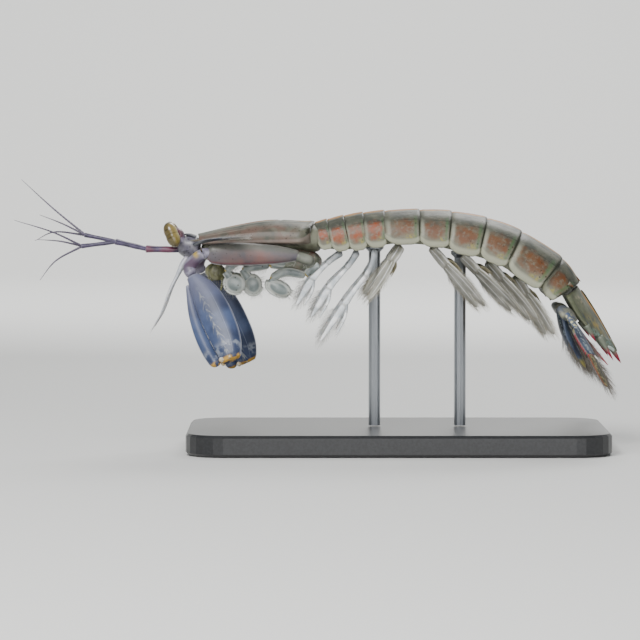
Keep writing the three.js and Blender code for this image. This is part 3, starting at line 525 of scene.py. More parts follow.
def somite_coat(name, flank, flank_strength, band_width):
    """A body ring: olive glass grey, an amber back band, a warm flank patch and a dark rear line"""
    coat = Coat(name, roughness=0.5, coat=0.06, soft=0.12, specular=0.35)
    _, along, rise, wide = coat.places
    ragged = wide + (coat.noise(420) - 0.5) * 0.16
    fine = coat.noise(1500, 4)
    clouds = coat.noise(330, 5)
    upper = rise.step(0.0, 0.2)
    coat.base("55574c", "7b7b69", clouds.step(0.35, 0.65))
    coat.paint("484b43", rise.band(0.72, 0.14, 0.14), wide.step(0.4, 0.7), 0.55)
    coat.paint("8d8b78", rise.step(0.4, 0.1), 0.6)

    # The back band, scalloped along each ring, with a deeper core
    reach = ragged - (along * math.pi).sine() * 0.09
    amber = coat.mix("b9741a", "e0a024", fine.step(0.3, 0.65))
    coat.paint(amber, reach.step(band_width + 0.1, band_width - 0.05), upper, 0.95)
    coat.paint("9c4520", reach.step(band_width * 0.7, band_width * 0.25), upper, clouds.step(0.3, 0.55), 0.9)

    # The flank patch: a ragged cloud of pigment across the middle of the side
    side = wide.step(0.6, 0.85)
    high = (rise - 0.4) / 0.3
    apart = (along - 0.5) / 0.44
    grit = (coat.noise(620, 5) - 0.5) * 3.0
    coat.paint(flank, (high * high + apart * apart + grit).step(1.5, -0.3), side, flank_strength)
    coat.paint("8a897b", coat.noise(1100, 5).step(0.5, 0.68), side, 0.5)

    coat.paint("b9baa6", along.band(0.1, 0.05, 0.06), wide.step(0.7, 0.9), 0.6)
    coat.paint("54764a", along.band(0.87, 0.035, 0.045), wide.step(0.6, 0.85), 0.6)
    coat.paint("b8ab4c", along.band(0.72, 0.12, 0.1), rise.band(0.1, 0.07, 0.08), fine.step(0.4, 0.55), 0.6)
    coat.paint("c3c4ac", rise.step(0.08, -0.02), rise.step(-0.4, -0.1), 0.75)
    coat.paint("a5a692", rise.step(-0.15, -0.5))
    coat.paint("26251b", coat.dots(900, 0.16), along.step(0.3, 0.95), upper, 0.8)
    coat.paint("2e2d20", coat.dots(2200, 0.17), upper, clouds.step(0.35, 0.6), 0.5)
    for keel in (0.5, 0.8):
        coat.paint("35342a", wide.band(keel, 0.008, 0.01), along.step(0.25, 0.6), upper, 0.65)
    coat.paint("2c311c", along.step(0.93, 0.975), rise.step(-0.1, 0.1), 0.9)
    return coat.finish(fine + clouds, 0.3, depth=0.62, richness=1.05)


def carapace_coat():
    """Olive grey above, a rosy clouded flank, fine specks and a dark rear line"""
    coat = Coat("carapace_coat", roughness=0.5, coat=0.06, soft=0.12, specular=0.35)
    _, along, rise, wide = coat.places
    ragged = wide + (coat.noise(380) - 0.5) * 0.2
    clouds = coat.noise(260, 5)
    coat.base("54584d", "7a7968", clouds.step(0.35, 0.65))
    coat.paint("7a5048", ragged.step(0.45, 0.8), clouds.step(0.3, 0.65), along.step(0.98, 0.75), 0.6)
    coat.paint("8b8f7e", coat.noise(420, 4).step(0.5, 0.66), wide.step(0.5, 0.75), 0.4)
    arc = 0.84 + along * -0.22
    coat.paint("b3aa9c", abs(wide - arc).step(0.03, 0.0), along.step(0.02, 0.1), along.step(0.5, 0.3), 0.6)
    coat.paint("bd7f26", ragged.step(0.26, 0.08), along.band(0.45, 0.2, 0.12), 0.85)
    middle = along.band(0.45, 0.14, 0.08)
    coat.paint("a4471f", ragged.step(0.14, 0.05), middle, coat.noise(900).step(0.4, 0.6))
    coat.paint("b98a2c", ragged.step(0.3, 0.1), along.step(0.8, 0.95), 0.8)
    coat.paint("6c7a35", wide.step(0.06, 0.02), along.step(0.98, 0.7), 0.5)
    groove = abs(wide - (0.47 + (along * 5.0).sine() * 0.05)).step(0.035, 0.008)
    coat.paint("2b2b22", groove, along.step(0.1, 0.2), along.step(0.95, 0.8), 0.7)
    coat.paint("352c26", wide.band(0.82, 0.06, 0.06), middle, coat.dots(1300, 0.25), 0.7)
    coat.paint("2e2a1e", coat.dots(800, 0.15), along.step(0.0, 0.6), 0.65)
    coat.paint("35301f", coat.dots(2300, 0.17), clouds.step(0.4, 0.6), 0.45)
    coat.paint("2b2c1c", along.step(0.965, 0.985), rise.step(0.0, 0.15), 0.85)
    coat.paint("a8958c", rise.step(0.1, 0.02), 0.5)
    return coat.finish(coat.noise(900, 4) + clouds, 0.3, depth=0.62)


def arm_coat():
    """The claw's arm: rosy grey with a dark cloud, a rosy lower line and a pale lower edge"""
    coat = Coat("arm_coat", roughness=0.42, coat=0.12, soft=0.15, specular=0.4)
    across, along, rise, wide = coat.places
    clouds = coat.noise(260, 4)
    coat.base("67636a", "8b7d79", clouds.step(0.3, 0.7))
    coat.paint("74776c", across.step(-0.1, 0.6), 0.7)
    coat.paint("44444f", across.band(-0.1, 0.4, 0.3), along.band(0.82, 0.08, 0.1), 0.6)
    middle = along.band(0.5, 0.25, 0.2)
    coat.paint("905850", across.band(-0.2, 0.5, 0.25), middle, clouds.step(0.3, 0.65), 0.6)
    coat.paint("96505a", across.band(-0.78, 0.07, 0.08), along.step(0.1, 0.3), 0.55)
    coat.paint("d6cbd0", across.step(-0.88, -0.97), 0.85)
    coat.paint("a9a4a2", across.step(0.88, 0.98), 0.35)
    coat.paint("3c3034", coat.dots(1000, 0.14), along.step(0.2, 0.8), 0.6)
    wrist = coat.mix("7b7688", "a19db0", coat.noise(500).step(0.35, 0.65))
    wrist = coat.mix(wrist, "5c3f58", along.band(0.62, 0.18, 0.12), wide.step(0.98, 0.7), 0.8)
    wrist = coat.mix(wrist, "cfae3a", along.band(0.4, 0.0, 0.09), across.step(0.2, 1.0), 0.85)
    coat.paint(wrist, rise.step(3.0, 4.0))
    coat.paint(coat.mix("74776b", "9b9e91", clouds.step(0.4, 0.6)), rise.step(-2.0, -3.0))
    return coat.finish(coat.noise(700), 0.15)


def claw_coat(name, feathered):
    """Slate blue glass with a white feathered streak, pale rims and an amber joint"""
    coat = Coat(name, roughness=0.36, coat=0.12, soft=0.12, specular=0.25)
    across, along, _, wide = coat.places
    coat.base("2f3c5c", "4d5f88", coat.noise(190, 4).step(0.3, 0.7))
    coat.paint("767890", along.step(0.6, 0.0), 0.8)
    coat.paint("27324e", along.step(0.6, 0.95), 0.5)
    if feathered:
        # A shaft near the front edge, with short barbs that sweep back towards the wrist
        sway = (coat.noise(330, 3) - 0.5) * 0.34
        aside = abs(across - (0.46 - along * 0.3) + sway)
        phase = along * 11.0 - aside * 4.0 + coat.noise(500)
        barbs = (phase * TURN).sine().step(0.3, 1.0) * aside.step(0.3, 0.06)
        streak = coat.math("MAXIMUM", aside.step(0.07, 0.0) * 0.7, barbs * 0.7)
        smear = along.step(0.1, 0.35) * coat.noise(900, 5).step(0.38, 0.62)
        coat.paint("c2c2b4", streak, smear, 0.75)
        coat.paint("98a3bd", across.band(-0.34, 0.012, 0.014), along.step(0.15, 0.35), 0.4)
    coat.paint("a7acc8", wide.step(0.9, 0.99), 0.75)
    coat.paint("b9c0ca", along.band(0.88, 0.04, 0.06), coat.noise(420).step(0.5, 0.62), 0.5)
    coat.paint("cf9d20", along.step(0.955, 0.98), coat.noise(420).step(0.45, 0.55))
    coat.paint("a9abba", along.step(0.045, 0.0), 0.7)
    return coat.finish(coat.noise(500), 0.08, depth=0.74, richness=0.9)


def eye_coat():
    """Golden green under a clear coat, with a painted highlight on the middle of its side, painted shade at
    its edges towards and away from the stalk, darker ends, a fine waist line and false pupils
    """
    coat = Coat("eye_coat", roughness=0.3, coat=0.6, soft=0.05, specular=0.35, coat_roughness=0.16)
    across, along, _, wide = coat.places
    coat.base("7d6d30", "907c4c", along.step(0.1, 0.8))
    # Painted highlight: a pale golden sheen laid on the middle of the eye's side
    coat.paint("d0bf80", across.band(-0.1, 0.25, 0.4), along.band(0.5, 0.3, 0.15), 0.85)
    coat.paint("8b7d46", coat.noise(700).step(0.45, 0.65), 0.35)
    coat.paint("332e14", along.band(0.5, 0.01, 0.012), 0.8)
    for pupil in (0.36, 0.7):
        coat.paint("2a1712", along.band(pupil, 0.02, 0.025), across.step(0.93, 0.97), 0.95)
    coat.paint("6f695a", along.step(0.84, 0.97), 0.8)
    coat.paint("7a6c50", along.step(0.14, 0.03), 0.8)
    # Painted shade: darker where the eye faces towards and away from the stalk, its edges as seen from the
    # side
    coat.paint("453d22", wide.step(0.6, 1.0), 0.7)
    return coat.finish(depth=0.78)


def plain_coat(name, light, dark, roughness=0.4, coat_weight=0.2, soft=0.2, tint=None, glow=0.0, scale=500):
    """A mottled coat; tint is (colour, start, stop) along the limb"""
    coat = Coat(name, roughness, coat_weight, soft, glow)
    coat.base(dark, light, coat.noise(scale).step(0.3, 0.7))
    if tint:
        code, start, stop = tint
        coat.paint(code, coat.places[1].step(start, stop), 0.85)
    return coat.finish(coat.noise(scale * 2), 0.2)


def head_coat():
    """Violet grey, with rosy eye stalks and dark dots"""
    coat = Coat("head_coat", roughness=0.38, coat=0.25, soft=0.2)
    _, along, rise, _ = coat.places
    coat.base("5f5c6b", "8e8b94", coat.noise(500).step(0.3, 0.7))
    coat.paint(coat.mix("8b8399", "6c434d", along.step(0.35, 0.9)), rise.step(3.5, 4.5))
    coat.paint("1f1b24", coat.dots(1100, 0.18), 0.8)
    return coat.finish(coat.noise(900), 0.3)


def feeler_coat():
    """Dark violet articles with pale joints, a rosy first article and greyer whips"""
    coat = Coat("feeler_coat", roughness=0.38, coat=0.2, soft=0.1)
    _, along, rise, _ = coat.places
    coat.base("2f2745", "51446a", coat.noise(600).step(0.3, 0.7))
    coat.paint("854058", rise.band(6.0, 0.2, 0.1), coat.noise(400).step(0.35, 0.6), 0.7)
    coat.paint("9c96a8", rise.step(4.0, 5.0), abs(along - 0.5).step(0.465, 0.49), 0.7)
    coat.paint("6a6272", rise.step(3.5, 2.5), 0.5)
    return coat.finish(coat.noise(900), 0.15)


def telson_coat():
    """The tail plate: olive, with blue rows of dots, an amber middle, a pale rim and red teeth"""
    coat = Coat("telson_coat", roughness=0.48, coat=0.08, soft=0.12, specular=0.35)
    _, along, rise, wide = coat.places
    ragged = wide + (coat.noise(400) - 0.5) * 0.1
    clouds = coat.noise(300, 5)
    coat.base("585d49", "7d8069", clouds.step(0.35, 0.65))
    rows = ((wide + along * -0.16) * 15.0 * math.pi).sine().step(0.5, 0.9)
    coat.paint("2d4263", rows, along.step(0.35, 0.5), along.step(0.92, 0.8), wide.step(0.2, 0.3),
               coat.dots(1500, 0.42, 0.2), 0.85)
    middle = ragged - (0.1 + along.band(0.22, 0.1, 0.16) * 0.14)
    coat.paint("cc8a14", middle.step(0.09, -0.03), 0.95)
    coat.paint("552a12", coat.dots(1300, 0.18), middle.step(0.14, -0.02), 0.85)
    specks = coat.dots(1100, 0.35, 0.2)
    coat.paint("aba088", wide.band(0.7, 0.14, 0.08), along.band(0.17, 0.09, 0.06), specks, 0.7)
    haze = coat.noise(700, 5).step(0.4, 0.62)
    coat.paint("b3993a", wide.band(0.62, 0.16, 0.14), along.band(0.62, 0.16, 0.14), haze, 0.75)
    coat.paint("86a79e", along.step(0.8, 0.95), coat.noise(1900, 6).step(0.36, 0.62), 0.75)
    coat.paint("767962", wide.step(0.955, 0.985), 0.5)
    coat.paint("5c6142", along.step(0.05, 0.02), 0.7)
    coat.paint("2d3a18", rise.band(3.0, 0.2, 0.1), 0.85)
    coat.paint(coat.mix("7d8474", "a02440", along.step(0.4, 0.75)), rise.step(4.5, 4.9))
    coat.paint("d3e3da", rise.step(6.5, 6.9))
    return coat.finish(coat.noise(900, 4) + clouds, 0.3)


def fan_coat():
    """Tail paddles: blue with pale gold dots, red tines and spines, a gold last article"""
    coat = Coat("fan_coat", roughness=0.4, coat=0.15, soft=0.12, specular=0.4)
    across, along, rise, wide = coat.places
    coat.base("343d50", "57647a", coat.noise(300).step(0.3, 0.7))
    coat.paint(coat.mix("6a6f78", "9a9a88", coat.noise(400).step(0.4, 0.6)), rise.band(4.0, 0.2, 0.1))
    shaft = rise.step(3.0, 2.0)
    coat.paint("adbab9", across.band(0.35, 0.24, 0.14), coat.dots(1500, 0.42, 0.2), shaft, 0.75)
    coat.paint("a39c6c", wide.step(0.88, 0.97), shaft, 0.7)
    gold = coat.mix("57523a", "9a8f66", coat.dots(1400, 0.35, 0.15))
    gold = coat.mix(gold, "262a2c", across.band(-0.25, 0.22, 0.1), along.band(0.5, 0.3, 0.1))
    gold = coat.mix(gold, "a02f28", along.step(0.16, 0.04))
    gold = coat.mix(gold, "8a5038", across.step(0.7, 0.95))
    coat.paint(gold, rise.band(6.0, 0.2, 0.1))
    inner = rise.band(7.0, 0.2, 0.1)
    coat.paint("b8cdd2", inner, across.band(-0.55, 0.14, 0.1), coat.dots(1700, 0.4, 0.2), 0.8)
    coat.paint("a39a55", inner, along.step(0.8, 0.92))
    tine = coat.mix("5d6a84", "a22f40", along.step(0.45, 0.7))
    tine = coat.mix(tine, "d6d3a8", coat.dots(1500, 0.36, 0.2), along.step(0.5, 0.3))
    coat.paint(tine, rise.band(5.0, 0.2, 0.1))
    coat.paint(coat.mix("a3747e", "9c2334", along.step(0.2, 0.6)), rise.band(8.0, 0.2, 0.1))
    return coat.finish(coat.noise(700), 0.2)


def swimmeret_coat():
    """Milky clear paddles with a painted highlight along each shaft and brown gill threads"""
    coat = Coat("swimmeret_coat", roughness=0.45, coat=0.05, soft=0.2, glow=0.2)
    across, along, rise, wide = coat.places
    coat.base("9f9d90", "cbc9be", coat.noise(300, 4).step(0.3, 0.7))
    coat.paint("87866f", along.step(0.3, 0.0), 0.5)
    coat.paint("f2f1ea", wide.step(0.85, 0.98), 0.7)
    # Painted highlight: a pure white streak along the paddle's shaft, fading out near the tip
    coat.paint("ffffff", across.band(0.3, 0.09, 0.08), along.step(0.98, 0.7))
    coat.paint("8b8874", across.band(-0.35, 0.02, 0.05), along.step(0.9, 0.4), 0.6)
    coat.paint(coat.mix("8b8267", "b5ac8c", coat.noise(900)), rise.step(3.0, 4.0))
    return coat.finish(coat.noise(900), 0.2, depth=0.86)


def setae_coat(name, root, tip):
    coat = Coat(name, roughness=0.5, coat=0.0, soft=0.0, glow=0.15)
    coat.base(root, tip, coat.places[1].step(0.1, 0.9))
    return coat.finish()


# Trunk

back_line = Path([(x, 0, z) for x, z in BACK_LINE])
rings_length = sum(length for _, length, _, _ in SOMITES)
somites = {}
reached = 0.0
for somite_name, somite_length, half_width, somite_depth in SOMITES:
    begin = reached
    reached += somite_length * back_line.length / rings_length
    somites[somite_name] = {
        "start": begin,
        "end": reached - SOMITE_GAP,
        "half_width": half_width,
        "depth": somite_depth,
    }


def trunk_frame(distance):
    t = np.atleast_1d(distance) / back_line.length
    along = back_line.along(t)
    up = np.stack([-along[:, 2], np.zeros(len(t)), along[:, 0]], -1)
    return back_line.at(t), along, up


def belly_share(rise):
    return FLANK_SHARE + (1 - FLANK_SHARE) * np.sin(np.pi * rise**0.6)


def under_somite(name, t, y, gap):
    somite = somites[name]
    point, _, up = trunk_frame(somite["start"] + (somite["end"] - somite["start"]) * t)
    rise = math.sqrt(1 - (abs(y) / somite["half_width"]) ** (2 / SOMITE_SQUARE))
    place = point[0] - up[0] * (somite["depth"] * belly_share(rise) + gap)
    return vec(place[0], y, place[2])


def somite_grid(somite, t, angle, lap=0.0, shrink=0.0):
    """A body ring with a tucked front, a raised rear rim and faint keels along its back"""
    rows = [0, 0.12, 0.5, 0.9, 0.955, 0.985, 1]
    swell = np.interp(t, rows, [0.925, 0.975, 0.995, 1.008, 1.014, 1.01, 0.985])
    sink = np.interp(t, [0, 0.12, 0.5, 0.94, 1], [0.5, 0.12, 0, -0.1, 0.02])
    point, _, up = trunk_frame(somite["start"] + (somite["end"] + lap - somite["start"]) * t)
    across, sine = rounded(np.cos(angle), SOMITE_SQUARE), np.sin(angle)
    share, rise = np.abs(across), np.abs(sine)
    drop = somite["depth"] * np.where(sine >= 0, FLANK_SHARE * (1 - rise**0.9), belly_share(rise))
    keels = 0.12 * (bell(share, 0.5, 0.02) + bell(share, 0.86, 0.018)) * (sine > 0)
    drop = drop * swell[:, None] + sink[:, None] - keels * np.sin(np.pi * np.clip(t, 0, 0.95))[:, None]

    # The side plates' corners are cut back, so that the rings' lower edges are rounded
    front_corner, rear_corner = held((0.42 - t) / 0.42), held((t - 0.72) / 0.28)
    lift = (0.2 * front_corner**2.2 + 0.13 * rear_corner**2.2) * somite["depth"] * (0 if shrink else 1)
    low = held((share - 0.45) / 0.4) * held((0.25 - sine) * 4)
    drop = drop + shrink - lift[:, None] * low
    points = point[:, None] - up[:, None] * drop[..., None]
    points[..., 1] = somite["half_width"] * across * swell[:, None] * (1 - shrink / somite["half_width"])
    return points, places_of(across, t, np.where(sine >= 0, rise**0.9, -rise))


def build_trunk():
    t = np.concatenate([[0, 0.03, 0.08], np.linspace(0.14, 0.88, 12), [0.92, 0.945, 0.965, 0.985, 1]])
    angle = circle(144)
    coats = {
        "thorax": somite_coat("thorax_coat", "a84a12", 0.88, 0.26),
        "abdomen": somite_coat("abdomen_coat", "80471f", 0.78, 0.22),
    }
    for name, somite in somites.items():
        rearmost = name == "abdomen_6"
        skin = Skin().grid(*somite_grid(somite, t, angle, 0.0 if rearmost else SOMITE_LAP))
        if rearmost:
            point, along, up = (vectors[0] for vectors in trunk_frame(somite["end"]))
            for y, drop in ((-9.6, 2.6), (-3.4, 0.3), (3.4, 0.3), (9.6, 2.6)):
                root = point - up * drop - along * 1.2
                root[1] = y
                skin.spine(root, root + along * 1.2 + up * 0.5, 0.5, 0.4, mark=0.5, across=1.0)
        skin.build(f"shell_{name}", coats[name.split("_")[0]], "shell", [name])

    # The soft joint skin that shows in the thin gaps between the rings, and under the carapace
    middles = [(somite["start"] + somite["end"]) / 2 for somite in somites.values()]
    halves, depths = ([somite[size] for somite in somites.values()] for size in ("half_width", "depth"))
    loops = []
    for distance in np.linspace(somites["thorax_5"]["start"] + 0.4, somites["abdomen_6"]["end"] - 0.2, 90):
        ring = {
            "start": distance,
            "end": distance,
            "half_width": np.interp(distance, middles, halves) - 0.8,
            "depth": np.interp(distance, middles, depths) - 0.9,
        }
        loops.append([grid[0] for grid in somite_grid(ring, vec(0.5), angle[::2], shrink=0.5)])
    membrane = Skin().grid(*(np.array(grids) for grids in zip(*loops)))
    neck = Limb([(-25, 0, 50.6), (-21, 0, 50.2), (-17.6, 0, 50.0)], (0, 1, 0), [13.0, 14.4, 12.0],
                [4.8, 6.6, 6.2], 0.8, soft_ends=(0.3, 0.2))
    throat = Limb([(-46.8, 0, 48.1), (-40, 0, 48.4), (-31, 0, 48.6), (-22.5, 0, 48.3)], (0, 1, 0),
                  [5.6, 7.4, 8.8, 10.6], [1.6, 1.1, 1.0, 2.2], 0.8, soft_ends=(0.06, 0.06))
    membrane.limb(neck, 20, 60).limb(throat, 40, 40)
    membrane.build("joint_skin", plain_coat("joint_skin_coat", "8b8c78", "62634f", 0.55, 0.0), "flesh")


# Carapace and head

def build_carapace():
    t = np.concatenate([np.linspace(0, 0.08, 5), np.linspace(0.11, 0.88, 30), np.linspace(0.9, 1, 12)])
    angle = circle(128)
    down = t[:, None]
    top = Path([(x, 0, z) for x, z in CARAPACE_TOP]).at(t)[:, 2:]
    half = (5.2 + 5.2 * down**0.85) * (1 - 6 * held(down - 0.9) ** 1.6)
    edge = 49.2 + 0.7 * down
    across, sine = rounded(np.cos(angle), 0.85), np.sin(angle)
    share, rise = np.abs(across), np.abs(sine)

    # Relief of the upper face: two curved grooves, three keels, a cross furrow and a rear rim
    groove = -0.22 * bell(share, 0.47 + 0.05 * np.sin(5 * down), 0.03) * held((down - 0.1) * 8)
    keel = 0.14 * (bell(share, 0.0, 0.02) + bell(share, 0.93, 0.02))
    cross = -0.16 * bell(down, 0.72, 0.012) * bell(share, 0.0, 0.4)
    relief = (groove + keel + cross + 0.1 * bell(down, 0.975, 0.014)) * (sine > 0.12)
    upper, lower = (top - edge) * rise**0.85, (CARAPACE_UNDERSIDE - edge) * rise**0.5
    z = edge + np.where(sine >= 0, upper, lower) + relief

    # The front corners lean back, and the rear corners tuck in and up
    corner = 2.4 * held(share - 0.35) * held(down - 0.5)
    front_edge = 5.0 * share**2 * held(0.1 - down)
    rear = held((down - 0.86) / 0.14)
    tuck = rear**2.5 * held((share - 0.55) / 0.45) ** 2
    x = CARAPACE_FRONT + CARAPACE_LENGTH * down - corner + front_edge + 0.5 * rear**2 * (1 - share**2)
    points = np.stack([x, half * across * (1 - 0.05 * tuck), z + 1.3 * tuck * (sine < 0.6)], -1)
    skin = Skin().grid(points, places_of(across, t, np.where(sine >= 0, rise**0.85, -rise)))
    for _, side in SIDES:
        root = vec(-47.0, side * 4.4, 49.7)
        skin.spine(root, root + vec(-2.4, side * 0.5, -0.1), 0.55, mark=0.6, across=0.6)
    skin.build("shell_carapace", carapace_coat(), "shell", ["carapace"])

    plate = Limb([(-48.0, 0, 50.3), (-49.4, 0, 50.8), (-50.9, 0, 51.0)], (0, 1, 0), [4.4, 4.2, 3.6, 2.6, 1.4],
                 [0.9, 0.8, 0.5], square=0.8, soft_ends=(0.05, 0.18))
    look = plain_coat("rostral_coat", "77777a", "505158", 0.55, 0.0)
    Skin().limb(plate, 24, 28).build("shell_rostral_plate", look, "shell", ["rostral_plate"])


def build_head():
    skin = Skin()
    skull = Limb([(-47.0, 0, 47.5), (-49.6, 0, 47.8), (-51.3, 0, 47.9), (-52.8, 0, 47.5)], (0, 1, 0),
                 [6.8, 7.4, 6.4, 4.0], [4.6, 5.6, 5.2, 2.8], 0.8, soft_ends=(0.1, 0.16))
    skin.limb(skull, 26, 40)
    look, golden = head_coat(), eye_coat()
    for name, side in SIDES:
        mirror = vec(1, side, 1)
        centre = vec(*EYE["centre"]) * mirror
        axis = unit(vec(*EYE["axis"])) * mirror
        neck = vec(-50.6, side * 2.1, 47.8)
        back = neck - centre
        back = unit(back - axis * (back @ axis))
        seat = centre + back * (EYE["radius"] + GAP + 0.15)
        stalk = Limb([neck, seat + back * 0.8, seat + back * 0.02], axis, [1.9, 2.1, 3.4], [1.7, 1.8, 2.4],
                     soft_ends=(0, 0.06))
        skin.limb(stalk, 20, 24, mark=5.0)
        skin.spine((-49.6, side * 3.0, 47.4), (-51.6, side * 4.1, 47.2), 0.6, mark=0.0)

        # The eye: a capsule with a slight waist, whose place across is 1 where it faces away from the stalk
        along = -np.cos(np.linspace(0.03, 0.97, 44) * np.pi)
        radius = EYE["radius"] * (1 - 0.05 * bell(along, 0, 0.2)) * np.sqrt(1 - np.abs(along) ** 2.6)
        angle = circle(40)
        ring = back * np.cos(angle)[:, None] + np.cross(axis, back) * np.sin(angle)[:, None]
        middle = centre + axis * (along * EYE["length"] / 2)[:, None]
        points = middle[:, None] + ring[None] * radius[:, None, None]
        ball = Skin().grid(points, places_of(-np.cos(angle), (along + 1) / 2, 1.0))
        ball.build(f"cornea_{name}", golden, "eye", [f"eye_{name}"])
    skin.build("head_shell", look, "head_shell", ["head"])


# Feelers

FEELERS = {
    "left": {
        "tip": (-75.5, -2.4, 48.2),
        "whips": [[(-81.8, -5.2, 51.6), (-90.7, -9.5, 54.6)], [(-81.3, -5.4, 44.8), (-84.8, -8.6, 40.4)],
                  [(-80.6, -1.6, 49.4), (-86.0, -1.8, 49.8)]],
    },
    "right": {
        "tip": (-75.0, 2.4, 50.8),
        "whips": [[(-82.5, 5.2, 57.0), (-90.6, 11.0, 63.9)], [(-82.3, 4.6, 51.4), (-87.2, 8.4, 49.2)],
                  [(-80.4, 1.8, 53.6), (-85.6, 2.0, 55.6)]],
    },
}


def build_feelers():
    violet = feeler_coat()
    white = plain_coat("pale_coat", "eef0f2", "c2c8d2", 0.3, 0.4, 0.3, tint=("b9b2c4", 0.2, 0.0))
    scale_look = plain_coat("scale_coat", "545a6c", "343a4e", 0.35, 0.3, 0.2, glow=0.3, scale=300)
    bristle = setae_coat("pale_setae_coat", "9a938c", "cfc8c0")
    for name, side in SIDES:
        tip = vec(*FEELERS[name]["tip"])
        joints = [*flipped([(-52.0, 1.1, 47.3), (-59.8, 1.3, 47.5), (-67.1, 1.7, 49.2)], side), tip]
        skin = Skin()
        for index, (width, overlap, mark) in enumerate(((1.5, 0.35, 6.0), (1.2, 0.35, 5.5), (1.0, 0, 5.5))):
            start, end = joints[index:index + 2]
            article = Limb([start, end + unit(end - start) * overlap], (0, 1, 0),
                           [width * 0.82, width * 0.98, width * 0.94, width * 1.18], soft_ends=(0.04, 0.03))
            skin.limb(article, 22, 18, mark=mark)
        for middle, end in FEELERS[name]["whips"]:
            root = tip + (joints[2] - tip) * 0.05
            whip = Limb([root, middle, end], (0, 1, 0), [0.62, 0.5, 0.42, 0.32, 0.2, 0.1])
            t = np.linspace(0, 1, 150)
            beads = (1 + 0.12 * np.sin(t * TURN * 26))[:, None, None]
            skin.grid(whip.swollen(t, circle(10), beads), places_of(0.0, t, np.ones(10)))
        skin.build(f"feeler_{name}", violet, "feeler", [f"antennule_{name}"])

        antenna_path = [(-49.8, 4.9, 45.7), (-50.8, 5.2, 44.6), (-52.4, 5.9, 41.4),
                        (-53.9, 6.8, 38.4), (-56.1, 8.4, 32.5), (-58.3, 9.6, 28.6)]
        whip = Limb(flipped(antenna_path, side), (0, 1, 0.2), [1.7, 1.6, 1.1, 1.2, 1.3, 1.1, 0.8, 0.3],
                    [1.5, 1.3, 0.8, 0.7, 0.6, 0.5, 0.4, 0.2], soft_ends=(0.03, 0.03))
        Skin().limb(whip, 60, 16).build(f"whip_{name}", white, "pale", [f"antenna_{name}"])
        hairs = Setae()
        for edge in (-1, 1):
            hairs.fringe(whip, 0.5, 0.99, 34, edge, 1.3, (0.9, 1.3), 0.06)

        blade_path = [(-48.4, 6.0, 48.7), (-46.2, 8.3, 49.5), (-41.5, 13.0, 50.4), (-37.2, 17.2, 50.8)]
        blade = Limb(flipped(blade_path, side), (1, -side, 0), [1.4, 2.6, 4.8, 5.4, 5.2, 3.8, 1.6],
                     [0.9, 0.6, 0.45, 0.35], soft_ends=(0.03, 0.12))
        Skin().limb(blade, 40, 28).build(f"scale_{name}", scale_look, "pale", [f"antennal_scale_{name}"])
        hairs.fringe(blade, 0.36, 0.995, 110, 1, 3.5, (0.35, 1.35), 0.09)
        hairs.fringe(blade, 0.78, 0.995, 34, -1, 3.2, (0.5, 1.45), 0.09)
        hairs.build(f"setae_antenna_{name}", bristle)


# Claws

CLAW_POSE = {
    "left": {"wrist": (-48.5, -11.2, 41.4), "way": (0.349, -0.504, -0.79)},
    "right": {"wrist": (-46.9, 10.9, 41.2), "way": (0.408, 0.157, -0.898)},
}
ARM_PATH = [(-23.2, 9.3, 46.3), (-31, 9.7, 46.5), (-40, 10.1, 46.6), (-45.4, 10.3, 46.6)]
HIP_PATH = [(-20.4, 6.7, 44.6), (-21.6, 8.6, 45.2), (-24.6, 9.4, 46.3)]
CARPUS_PATH = [(-43.6, 10.3, 47.2), (-46.4, 10.5, 46.5)]
hand_width = smooth([3.0, 5.6, 7.0, 7.7, 7.8, 7.5, 6.6, 4.8])
finger_width = smooth([0.4, 1.0, 1.6, 2.0, 2.3, 2.5, 2.5, 2.2])


def hand_margin(t):
    return 1.5 + 0.9 * np.sin(np.pi * t)


